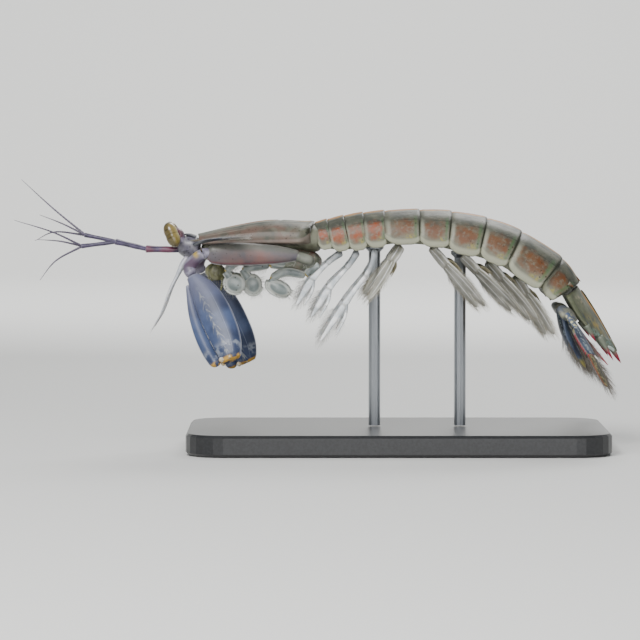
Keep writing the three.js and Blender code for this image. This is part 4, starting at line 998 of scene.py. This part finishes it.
def build_claws():
    arm_look = arm_coat()
    hand_look = claw_coat("hand_coat", True)
    finger_look = claw_coat("finger_coat", False)
    joint_look = plain_coat("claw_joint_coat", "e8e4da", "d9b040", 0.3, 0.4, 0.3, scale=420)
    for name, side in SIDES:
        wrist = vec(*CLAW_POSE[name]["wrist"])
        way = unit(vec(*CLAW_POSE[name]["way"]))
        forward = vec(-0.91, 0, -0.41)
        across = unit(forward - way * (forward @ way))
        normal = np.cross(way, across)

        def place(t, margin, lift=0.0):
            t, margin, lift = (np.asarray(a, float)[..., None] for a in (t, margin, lift))
            return wrist + way * CLAW_LENGTH * t + across * margin + normal * lift

        arm = Limb(flipped(ARM_PATH, side), (0, 0, 1), [2.2, 4.0, 4.9, 5.4, 5.4, 4.2],
                   [1.6, 3.2, 4.0, 4.2, 4.0, 3.0], 0.9, soft_ends=(0.04, 0.08))
        hip = Limb(flipped(HIP_PATH, side), (0, 0, 1), [2.6, 2.6, 2.2], soft_ends=(0.3, 0.2))
        carpus = Limb([*flipped(CARPUS_PATH, side), place(-0.1, 0), wrist - way * 0.2], across,
                      [1.8, 2.6, 3.0, 3.0, 2.7], [2.2, 2.5, 2.6, 2.4], soft_ends=(0.1, 0.08))
        skin = Skin().limb(arm, 44, 36).limb(hip, 20, 24, mark=-4.0).limb(carpus, 40, 30, mark=5.0)
        skin.build(f"arm_{name}", arm_look, "head_shell", [f"claw_{name}_arm"])

        # The hand's section is a lens with a slot along its front edge for the finger's teeth
        t = np.concatenate([[0, 0.008, 0.02], np.linspace(0.04, 0.96, 56), [0.98, 0.992, 1]])
        ends = dome(t / 0.02, 0.2) * np.sqrt(1 - 0.5 * held((t - 0.955) / 0.045) ** 2)
        half = hand_width(t) / 2
        reach = half * (0.5 + 0.5 * ends)
        thick = (CLAW_THICKNESS / 2) * (0.62 + 0.38 * np.sin(np.pi * (0.12 + 0.8 * t))) * ends
        depth = GROOVE_DEPTH * held(np.minimum(t - 0.09, 0.9 - t) * 14)
        angle = np.linspace(0.32, TURN - 0.32, 56)
        u, v = rounded(np.cos(angle), 0.85), rounded(np.sin(angle), 0.85)
        margins = (hand_margin(t) - half)[:, None] + reach[:, None] * u
        outer = place(t[:, None] + 0 * u, margins, thick[:, None] * v)
        lip = hand_margin(t) - half + reach * u[0]
        walls = [(lip - 0.05, 0.98 * SLOT_HALF), (lip - depth * 0.5, SLOT_HALF), (lip - depth, 0.3)]
        inner = [place(t, margin, -lift * ends) for margin, lift in walls]
        inner += [place(t, margin, lift * ends) for margin, lift in walls[::-1]]
        places = places_of([*u, *np.full(len(inner), 0.8)], t, [*v, *np.zeros(len(inner))])
        hand = Skin().grid(np.concatenate([outer, np.stack(inner, 1)], 1), places)
        hand.build(f"hand_{name}", hand_look, "claw", [f"claw_{name}_propodus"])

        share = eased(60)
        t = 0.07 + 0.93 * share
        half = finger_width(share) / 2 + 0.24
        angle = circle(22)
        ends = dome((1 - share) / 0.05, 0.05)
        middle = hand_margin(t) - 0.12 + half
        points = place(t[:, None] + 0 * angle, middle[:, None] + (half * ends)[:, None] * np.cos(angle),
                       ((0.3 + 0.8 * share) * ends)[:, None] * np.sin(angle))
        finger = Skin().grid(points, places_of(np.cos(angle), share, np.sin(angle)))
        for t in np.linspace(0.22, 0.84, 6):
            root = place(t, hand_margin(t) + GAP + 0.3)
            finger.spine(root, place(t - 0.03, hand_margin(t) - GROOVE_DEPTH + 0.7), 0.3, 0.4, mark=0.0)
        finger.build(f"finger_{name}", finger_look, "claw", [f"claw_{name}_dactylus"])

        # The pale and amber condyles at the finger's hinge
        knuckle = Skin()
        for margin, lift, size in ((1.2, 1.0, 0.62), (1.2, -1.0, 0.62), (-0.9, 0.9, 0.5), (-0.9, -0.9, 0.5)):
            knuckle.bead(place(0.975, margin, lift), (size, size, size))
        knuckle.build(f"knuckle_{name}", joint_look, "claw")


# Underbody, mouthparts and the small grasping limbs

def wall_coat():
    """The soft side wall: clear grey green, crossed by fine pale wrinkles"""
    coat = Coat("wall_coat", roughness=0.42, coat=0.15, soft=0.25)
    folds = abs(coat.noise(480, 2) - 0.5).step(0.035, 0.0)
    coat.base("6f7363", "a0a392", coat.noise(300, 4).step(0.35, 0.65))
    coat.paint("d9dccf", folds, 0.7)
    coat.paint("a65a4c", coat.places[1].step(0.72, 0.9), coat.noise(350).step(0.45, 0.6), 0.6)
    return coat.finish(coat.noise(500, 4) + folds, 0.35)


def mouth_coat():
    """Olive flesh, folded from top to bottom"""
    coat = Coat("mouth_coat", roughness=0.48, coat=0.1, soft=0.2)
    folds = coat.noise(900, 4, stretch=(1.0, 1.0, 0.25))
    coat.base("4f5133", "8b8a5e", folds.step(0.35, 0.65))
    coat.paint("a8a68c", coat.noise(420, 3).step(0.5, 0.65), 0.6)
    return coat.finish(folds, 0.6, 0.0005)


def build_underbody():
    body = Limb([(-47, 0, 46.3), (-40, 0, 46.4), (-31, 0, 46.0), (-24, 0, 45.0), (-18, 0, 44.4)], (0, 1, 0),
                [6.4, 7.4, 8.6, 10.4, 10.4], [2.8, 3.6, 4.8, 6.0, 4.6], 0.85, soft_ends=(0.06, 0.12))
    t, angle = eased(150), circle(72)
    ribs = 1 + 0.03 * np.sin(t * TURN * 9)[:, None] * held(-np.sin(angle))
    skin = Skin().grid(body.swollen(t, angle, ribs[..., None]), places_of(np.cos(angle), t, np.sin(angle)))
    skin.build("underbody", wall_coat(), "flesh", ["cephalothorax"])

    mouth = Skin().bead((-43.6, 0, 42.2), (2.4, 2.3, 2.0), rows=24, columns=36)
    for _, side in SIDES:
        mouth.bead((-43.0, side * 1.7, 41.9), (2.0, 1.5, 1.9), 0.3, rows=20, columns=30)
        mouth.bead((-44.2, side * 0.9, 40.8), (1.0, 0.7, 0.8), 0.5)
        palp = Limb(flipped([(-42.4, 1.9, 42.2), (-41.6, 2.2, 40.2), (-42.2, 2.0, 37.6)], side), (1, 0, 0),
                    [1.3, 1.1, 0.8, 0.4], soft_ends=(0, 0.1))
        mouth.limb(palp, 24, 14)
    mouth.build("mouth", mouth_coat(), "mouth", ["mouthparts"])
    count = 90
    around = rng.uniform(0, TURN, count)
    height = rng.uniform(-1.6, 0.2, count)
    roots = vec(-43.2, 0, 41.4) + np.stack([2.1 * np.cos(around), 2.4 * np.sin(around), height], -1)
    ways = np.stack([0.5 * np.cos(around), 0.5 * np.sin(around), rng.uniform(-1.6, -0.7, count)], -1)
    hairs = Setae().add(roots, ways, rng.uniform(1.0, 2.4, count), vec(0.4, 0, -0.3), 0.05, sunk=0.6,
                        unwrap=(around / TURN, (height + 1.6) / 1.8))
    hairs.build("setae_mouth", setae_coat("mouth_setae_coat", "8f8d68", "c9c8b0"))


# Name, hip, the forearm's points, the hand, its radii and its turn
GRASPERS = [
    ("maxilliped_3", (-26.5, 4.4, 44.4), [(-36.3, 4.9, 45.6), (-38.9, 5.3, 44.2), (-41.0, 5.4, 42.2)],
     (-38.7, 5.4, 39.4), (2.5, 1.45, 2.3), 0.4),
    ("maxilliped_4", (-23.0, 3.4, 43.4), [(-30.6, 3.1, 43.7), (-34.2, 3.1, 43.3), (-37.1, 3.0, 42.6)],
     (-34.5, 3.0, 39.1), (2.1, 1.4, 2.4), -0.3),
    ("maxilliped_5", (-18.6, 3.4, 43.6), [(-22.0, 4.1, 41.3), (-26.6, 4.5, 42.1), (-30.4, 5.0, 40.4)],
     (-28.3, 5.0, 38.3), (3.1, 1.4, 1.7), 0.45),
]


def grasper_coat():
    """Clear grey limbs with pale rims, amber joints and a few dark dots"""
    coat = Coat("grasper_coat", roughness=0.35, coat=0.25, soft=0.25)
    _, along, rise, wide = coat.places
    away = abs(rise)
    coat.base("7d8887", "a9b1ad", coat.noise(420, 4).step(0.35, 0.65))
    coat.paint("e9ece4", away.step(0.82, 0.55), away.step(3.0, 2.0), 0.85)
    coat.paint("e9ece4", away.step(3.5, 4.5), wide.step(0.5, 0.95), 0.8)
    coat.paint("d6bb52", rise.step(3.5, 4.5), along.step(0.9, 0.98))
    coat.paint("3d3b2c", coat.dots(700, 0.12), 0.8)
    return coat.finish(coat.noise(600), 0.12, depth=0.78)


def build_graspers():
    look = grasper_coat()
    bristle = setae_coat("grasper_setae_coat", "bdbdb2", "dedcd2")
    for name, hip, arm, hand, radii, turn in GRASPERS:
        cosine, sine = math.cos(turn), math.sin(turn)
        spin = np.array([[cosine, 0, sine], [0, 1, 0], [-sine, 0, cosine]])
        for side_name, side in SIDES:
            start, *points, centre = flipped([hip, *arm, hand], side)
            forearm = Limb(points, (0, 0, 1), [1.6, 2.1, 2.0, 1.5], [1.2, 1.6, 1.3], soft_ends=(0.06, 0.12))
            upper_arm = Limb([start, (start + points[0]) / 2 + vec(0, 0, 0.3), points[0]], (0, 0, 1),
                             [2.6, 2.5, 2.2, 1.5], [1.8, 1.7, 1.5, 1.2], soft_ends=(0.1, 0.08))
            end = points[2]
            wrist = Limb([end, end + (centre - end) * 0.7], (1, 0, 0), [1.6, 2.6], [1.4, 1.8])
            skin = Skin().limb(forearm, 28, 22, mark=5.0).limb(upper_arm, 28, 22, mark=5.0).limb(wrist, 8, 20)
            skin.bead(centre, radii, turn, rows=26, columns=40)
            angle = np.linspace(-0.2, 2.6, 9)
            far_x, far_z = radii[0] + 0.1, radii[2] + 0.1
            offset = np.stack([-np.cos(angle) * far_x, 0 * angle, -np.sin(angle) * far_z], -1)
            finger = Limb(offset @ spin.T + centre, (0, 1, 0), [0.9, 0.8, 0.7, 0.4], [0.8, 0.7, 0.5],
                          soft_ends=(0.06, 0.06))
            skin.limb(finger, 30, 14)
            skin.build(f"grasper_{name}_{side_name}", look, "flesh", [f"{name}_{side_name}"])
            count = 70
            around = rng.uniform(0.1, 3.6, count)
            out = np.stack([-np.cos(around) * radii[0], 0 * around, -np.sin(around) * radii[2]], -1) @ spin.T
            lift = rng.uniform(-0.8, 0.8, (count, 1)) * vec(0, 1, 0)
            hairs = Setae().add(centre + out * 0.98 + lift * 0.8, out + lift + rng.normal(0, 0.4, (count, 3)),
                                rng.uniform(0.7, 1.8, count), vec(0.3, 0, -0.4), 0.05,
                                unwrap=(around / TURN, (lift[:, 1] + 0.8) / 1.6))
            hairs.fringe(forearm, 0.1, 0.95, 34, -1, 1.5, (0.2, 0.7), 0.05)
            hairs.build(f"setae_{name}_{side_name}", bristle)


# Walking legs

# Body ring, the root's distance from the middle, and the points below the root
LEGS = [
    ("thorax_6", 5.2, [(-16.5, 9.5, 44.5), (-20.5, 14.5, 40.5), (-24, 19, 35)]),
    ("thorax_7", 5.4, [(-11.5, 9, 44), (-16.2, 12.5, 38.8), (-20.6, 16, 32)]),
    ("thorax_8", 5.8, [(-6.5, 9.2, 43.5), (-11.5, 12, 36.5), (-18.5, 14, 26.2)]),
]
LEG_JOINTS = (0.3, 0.62)


def leg_coat():
    coat = Coat("leg_coat", roughness=0.38, coat=0.2, soft=0.2)
    along = coat.places[1]
    coat.base("c2c9cd", "ffffff", coat.noise(420).step(0.3, 0.7))
    coat.paint("7f868b", along.step(0.36, 0.2), 0.75)
    for joint in LEG_JOINTS:
        coat.paint("8d8c84", along.band(joint, 0.012, 0.012), 0.6)
    return coat.finish(coat.noise(900), 0.12, depth=0.95)


def build_legs():
    look = leg_coat()
    bristle = setae_coat("leg_setae_coat", "dcdcd8", "b9b6ae")
    for index, (somite, root_y, path) in enumerate(LEGS, 1):
        for name, side in SIDES:
            root = under_somite(somite, 0.5, side * root_y, GAP + 0.9)
            leg = Limb([root, *flipped(path, side)], (1, 0, -0.4), [1.6, 1.2, 1.0, 1.3, 1.5, 1.2, 0.5],
                       [1.3, 1.0, 0.9, 1.0, 0.9, 0.7, 0.4], soft_ends=(0.03, 0.05))
            t, angle = eased(64), circle(20)
            waists = bell(t, 0.3, 0.014) + bell(t, 0.62, 0.012)
            knots = bell(t, 0.27, 0.03) + bell(t, 0.59, 0.03)
            points = leg.swollen(t, angle, (1 - 0.22 * waists + 0.1 * knots)[:, None, None])
            skin = Skin().grid(points, places_of(np.cos(angle), t, np.sin(angle)))
            fork, along, across, _ = leg.frame_at(0.58)
            branch_path = [fork, fork + along * 3 + across * 1.6, fork + along * 8 + across * 2.4]
            branch = Limb(branch_path, across, [0.8, 0.7, 0.6, 0.2])
            skin.limb(branch, 24, 12).build(f"walker_{index}_{name}", look, "limb", [f"leg_{index}_{name}"])
            hairs = Setae()
            for edge in (-1, 1):
                hairs.fringe(leg, 0.72, 0.998, 44, edge, 2.6, (0.8, 1.45), 0.07, spread=0.3)
                hairs.fringe(branch, 0.6, 0.99, 14, edge, 1.4, (0.9, 1.4), 0.05, spread=0.3)
            hairs.build(f"setae_leg_{index}_{name}", bristle)


# Swimmerets

# Body ring, the root's share of the ring's length, and the paddle's end
SWIMMERETS = [
    ("abdomen_1", 0.5, (-8.0, 9.4, 36.0)),
    ("abdomen_2", 0.5, (20.0, 9.0, 33.6)),
    ("abdomen_3", 0.55, (28.0, 9.0, 32.8)),
    ("abdomen_4", 0.5, (32.4, 8.8, 30.6)),
    ("abdomen_5", 0.45, (36.2, 8.0, 27.0)),
]
GILL_THREADS = 9


def build_swimmerets():
    look = swimmeret_coat()
    bristle = setae_coat("swimmeret_setae_coat", "c4bca4", "dedacb")
    for index, (somite, place, end) in enumerate(SWIMMERETS, 1):
        for name, side in SIDES:
            root = under_somite(somite, place, side * 6.6, GAP + 1.0)
            reach = vec(end[0], side * end[1], end[2]) - root
            across = vec(0.65, side, 0)
            stem = Limb([root, root + reach * 0.3], across, [3.0, 4.4, 4.2], [1.6, 1.4], 0.9,
                        soft_ends=(0.1, 0.1))
            skin = Skin().limb(stem, 20, 24)
            hairs = Setae()
            start = root + reach * 0.22
            for outer, offset, share in ((1, 1.55, 1.0), (-1, -1.35, 0.92)):
                stretch = (root + reach - start) * share
                sideways = [offset * 0.6, offset, offset * 1.15]
                paddle = Limb([start, start + stretch * 0.5, start + stretch], across,
                              [1.6, 3.2, 3.6, 3.0, 1.6], [0.9, 0.5, 0.35],
                              sideways=sideways, soft_ends=(0.04, 0.12))
                skin.limb(paddle, 30, 22)
                hairs.fringe(paddle, 0.25, 0.995, 80, outer, 2.7, (0.6, 1.4), 0.06)
                hairs.fringe(paddle, 0.5, 0.995, 44, -outer, 2.4, (0.8, 1.5), 0.06)
            centre, along, side_way, normal = stem.frame_at(0.8)
            behind = normal if normal[0] > 0 else -normal
            for share in np.linspace(-1.7, 1.7, GILL_THREADS):
                start = centre + side_way * share
                sway = side_way * rng.uniform(-0.4, 0.4)
                stop = start + behind * rng.uniform(1.2, 1.7) + along * rng.uniform(2.8, 4.8) + sway
                gill = Limb([start, start + behind * 1.1 + along * 1.2, stop], across, [0.4, 0.4, 0.32, 0.12])
                skin.limb(gill, 14, 9, mark=5.0)
            skin.build(f"paddle_{index}_{name}", look, "swimmeret", [f"pleopod_{index}_{name}"])
            hairs.build(f"setae_pleopod_{index}_{name}", bristle)


# Tail fan

telson_half_width = smooth([TELSON_HALF, 11.2, 10.2])
# Distance from the middle, root, tip and radius of each tooth on one side
TELSON_TEETH = [(2.8, 15.6, 21.4, 0.95), (7.9, 13.2, 19.3, 0.95), (10.5, 9.2, 13.2, 0.8)]
# Points and widths of the two tines of each tail fork
TINES = [
    ([(3.6, 11.2, -6.9), (10, 12.6, -6.4), (19, 14.2, -4.8)], [2.0, 2.4, 1.6, 0.9, 0.15]),
    ([(3.8, 12.6, -6.9), (9, 14.4, -6.6), (15.4, 16.8, -5.6)], [2.0, 1.9, 1.3, 0.8, 0.15]),
]


def tail_point(along, y, up):
    point, way, rise = (vectors[0] for vectors in trunk_frame(back_line.length))
    along, y, up = np.broadcast_arrays(np.asarray(along, float), y, up)
    place = point + way * along[..., None] + rise * up[..., None]
    place[..., 1] = y
    return place


def telson_reach(u):
    return np.interp(np.abs(u), [0, 0.35, 0.75, 0.85, 1], [18.3, 17.5, 15.5, 12.5, 11.5])


def telson_top(y):
    return TELSON_TOP - TELSON_ARCH * (np.abs(y) / TELSON_HALF) ** 2.2


def build_telson():
    u = np.unique([*np.linspace(-1, 1, 81), -0.75, 0.75, -0.85, 0.85])
    v = np.concatenate([[0, 0.02], np.linspace(0.06, 0.94, 26), [0.97, 1]])
    share, down = np.abs(u), v[:, None]
    y = u * telson_half_width(v)[:, None]
    along = GAP + (telson_reach(u) - GAP) * down
    keels = 0.16 * bell(share, 0.96, 0.02) + 0.2 * bell(share, 0.26, 0.03) + 0.7 * bell(u, 0.0, 0.17)
    humps = 0.25 * bell(share, 0.7, 0.12) * bell(down, 0.2, 0.1)
    swell = 0.25 * bell(down, 0.9, 0.05) * (0.6 + 0.4 * np.cos(u * 22))
    relief = keels * np.sin(np.pi * np.clip(down, 0.02, 0.98)) * 0.7 + humps + swell
    edge = np.minimum(1, np.minimum((1 - share) / 0.03, (1 - down) / 0.03)) ** 0.5
    thickness = 2.0 * (1 - 0.35 * share) * (1 - 0.25 * down)
    top = telson_top(y)
    upper = tail_point(along, y, top - thickness * 0.5 * (1 - edge) + (relief - 0.25) * edge)
    lower = tail_point(along, y, top - thickness + thickness * 0.5 * (1 - edge))
    faces_up = np.repeat([1.0, -1.0], len(u))
    loops = np.concatenate([upper, lower[:, ::-1]], 1)
    skin = Skin().grid(loops, places_of([*u, *u[::-1]], v, faces_up), caps=False)

    # Close the front and rear edges between the two faces
    for row in (0, -1):
        rim = np.stack([upper[row], lower[row]], 0)
        skin.grid(rim, places_of(u, v[row], [[1.0], [-1.0]]), wrap=False)
    for _, side in SIDES:
        for y, root, reach, radius in TELSON_TEETH:
            up = telson_top(y) - 0.75
            base, tip = tail_point(root, side * y * 0.99, up), tail_point(reach, side * y, up)
            skin.spine(base, tip, radius, 0.5, sides=14)
        for share in (*np.arange(0.045, 0.23, 0.035), *np.arange(0.37, 0.68, 0.035)):
            y = side * share * 10.2
            centre = tail_point(telson_reach(share) + 0.15, y, telson_top(y) - 0.6)
            skin.bead(centre, (0.3, 0.26, 0.42), mark=7.0, rows=8, columns=10)
    ridge = [tail_point(reach, 0, TELSON_TOP - sunk) for reach, sunk in ((1.6, 0), (10, 0), (18.6, 0.2))]
    keel = Limb(ridge, (0, 1, 0), [0.4, 0.6, 0.6, 0.3], [0.6, 0.9, 0.8, 0.5], soft_ends=(0.1, 0.05))
    skin.limb(keel, 40, 18, mark=3.0).build("telson_plate", telson_coat(), "tail_shell", ["telson"])


def build_uropods():
    look = fan_coat()
    dark = setae_coat("fan_setae_coat", "6f675c", "a79f94")
    for name, side in SIDES:
        across = vec(0, side * 0.92, 0) - trunk_frame(back_line.length)[2][0] * 0.38

        def blade(points, widths, depths, square=1.0, soft_ends=(0, 0)):
            path = [tail_point(along, side * y, up) for along, y, up in points]
            return Limb(path, across, widths, depths, square, soft_ends=soft_ends)

        stem = blade([(2.3, 8.8, -6.7), (3.6, 10.6, -6.8), (5.4, 12.6, -6.9)], [3.6, 5.2, 4.8],
                     [2.2, 2.1, 2.0], 0.85, soft_ends=(0.4, 0.15))
        endopod = blade([(3.2, 10.0, -7.3), (8, 10.2, -8.9), (13, 11.2, -9.4), (17, 12.2, -9.6)],
                        [1.6, 2.8, 3.4, 3.2, 1.8], [1.2, 0.9, 0.5], soft_ends=(0, 0.12))
        skin = Skin().limb(stem, 28, 28, mark=4.0)
        for points, widths in TINES:
            skin.limb(blade(points, widths, [1.4, 1.1, 0.8, 0.2]), 36, 18, mark=5.0)
        skin.limb(endopod, 44, 26, mark=7.0)
        skin.build(f"tail_fork_{name}", look, "tail_fan", [f"uropod_{name}_protopod"])

        outer = blade([(7.4, 17.1, -7.2), (10.5, 18.9, -7.2), (14.6, 21.4, -7.2)], [2.0, 3.8, 4.2, 4.0, 3.2],
                      [1.6, 1.3, 1.0], soft_ends=(0.06, 0.08))
        last = blade([(13.6, 20.8, -7.2), (18, 23.6, -7.6), (22.2, 26.0, -8.0)], [2.2, 3.3, 3.4, 2.8, 1.4],
                     [0.9, 0.7, 0.45], soft_ends=(0.06, 0.12))
        skin = Skin().limb(outer, 36, 26, mark=1.0).limb(last, 36, 26, mark=6.0)
        for t in np.linspace(0.28, 0.97, 9):
            _, along, sideways, _ = outer.frame_at(t)
            root = outer.surface(t, 0.0)[0, 0]
            skin.spine(root, root + (sideways * 0.6 + along * 0.8) * (1.0 + 0.5 * t), 0.26, mark=8.0)
        skin.build(f"tail_paddle_{name}", look, "tail_fan", [f"uropod_{name}_exopod"])

        hairs = Setae()
        hairs.fringe(endopod, 0.3, 0.998, 120, -1, 4.8, (0.4, 1.45), 0.08)
        hairs.fringe(endopod, 0.5, 0.998, 70, 1, 4.8, (0.7, 1.5), 0.08)
        hairs.fringe(outer, 0.3, 0.9, 70, -1, 3.6, (0.5, 1.0), 0.08)
        hairs.fringe(last, 0.1, 0.998, 100, -1, 4.6, (0.4, 1.45), 0.08)
        hairs.fringe(last, 0.15, 0.998, 90, 1, 3.9, (0.6, 1.5), 0.08)
        hairs.build(f"setae_tail_{name}", dark)


# Stand, floor, light and camera

def dress_stand():
    coat = Coat("stand_paint_coat", roughness=0.38, coat=0.2, soft=0.0)
    grain = coat.noise(1800, 5)
    coat.base("1d1e20", "2a2b2e", grain.step(0.3, 0.7))
    paint = coat.finish(grain, 0.12, 0.0001)
    steel = Coat("rod_coat", roughness=0.3, coat=0.0, soft=0.0)
    steel.shader.inputs["Metallic"].default_value = 1.0
    lines = steel.noise(4000, 3, stretch=(1.0, 1.0, 0.02))
    steel.base("8d9196", "b9bdc2", lines)
    rod = steel.finish(lines, 0.1, 0.00005, depth=0.95)
    for node, material in (("stand_base", paint), ("stand_rod_front", rod), ("stand_rod_rear", rod)):
        for material_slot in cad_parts[node].material_slots:
            material_slot.material = material


def add_object(name, data, place=(0, 0, 0), target=None):
    """A floor, lamp or camera in metres, turned to look at its target"""
    thing = bpy.data.objects.new(name, data)
    thing.location = place
    if target is not None:
        thing.rotation_euler = Vector(vec(*target) - vec(*place)).to_track_quat("-Z", "Y").to_euler()
    bpy.context.scene.collection.objects.link(thing)
    return thing


# Name, place, target, size and power, in metres and watts
LAMPS = [
    ("key", (-0.25, -0.5, 0.55), (-0.015, 0, 0.04), 0.3, 6.2),
    ("fill", (0.05, -0.75, 0.12), (-0.015, 0, 0.04), 0.5, 3.4),
    ("rim", (0.15, 0.5, 0.5), (-0.015, 0, 0.04), 0.3, 2.6),
    ("wall", (0.0, 0.7, 0.9), (0, 2.5, 0.2), 1.2, 22.0),
]


def build_studio():
    # A paper sweep: a flat floor that curves up into a wall well behind the model
    half_width, front, bend, radius, top, sunk = 3.0, -2.5, 1.0, 0.8, 2.5, 0.0002
    angle = np.linspace(0, math.pi / 2, 24)
    curve = zip(bend + radius * np.sin(angle), radius * (1 - np.cos(angle)))
    profile = [(front, 0.0), *curve, (bend + radius, top)]
    points = [(x, float(y), float(z) - sunk) for y, z in profile for x in (-half_width, half_width)]
    faces = [(2 * k, 2 * k + 1, 2 * k + 3, 2 * k + 2) for k in range(len(profile) - 1)]
    mesh = bpy.data.meshes.new("floor")
    mesh.from_pydata(points, [], faces)
    mesh.polygons.foreach_set("use_smooth", [True] * len(faces))
    paper = bpy.data.materials.new("floor_paper")
    paper.use_nodes = True
    paper.node_tree.nodes["Principled BSDF"].inputs["Base Color"].default_value = rgb("d9d9d6")
    paper.node_tree.nodes["Principled BSDF"].inputs["Roughness"].default_value = 0.8
    mesh.materials.append(paper)
    add_object("floor", mesh)
    world = bpy.data.worlds.new("studio")
    bpy.context.scene.world = world
    world.use_nodes = True
    world.node_tree.nodes["Background"].inputs["Color"].default_value = (0.86, 0.89, 0.93, 1)
    world.node_tree.nodes["Background"].inputs["Strength"].default_value = 0.34
    for name, place, target, size, power in LAMPS:
        light = bpy.data.lights.new(name, "AREA")
        light.size = size
        light.energy = power
        add_object(name, light, place, target)


def place_camera():
    """Square on to the animal's left side, a little above level, with the animal filling the frame's width"""
    elevation = math.radians(3.0)
    distance = 0.9
    view_width = 0.153
    target = vec(-0.0185, 0, 0.0305)
    camera = bpy.data.cameras.new("camera")
    camera.sensor_width = 36
    camera.lens = camera.sensor_width * distance / view_width
    camera.clip_start = 0.01
    place = target + vec(0, -math.cos(elevation), math.sin(elevation)) * distance
    bpy.context.scene.camera = add_object("camera", camera, place, target)


place_camera()
build_trunk()
build_carapace()
build_head()
build_feelers()
build_claws()
build_underbody()
build_graspers()
build_legs()
build_swimmerets()
build_telson()
build_uropods()
dress_stand()
build_studio()
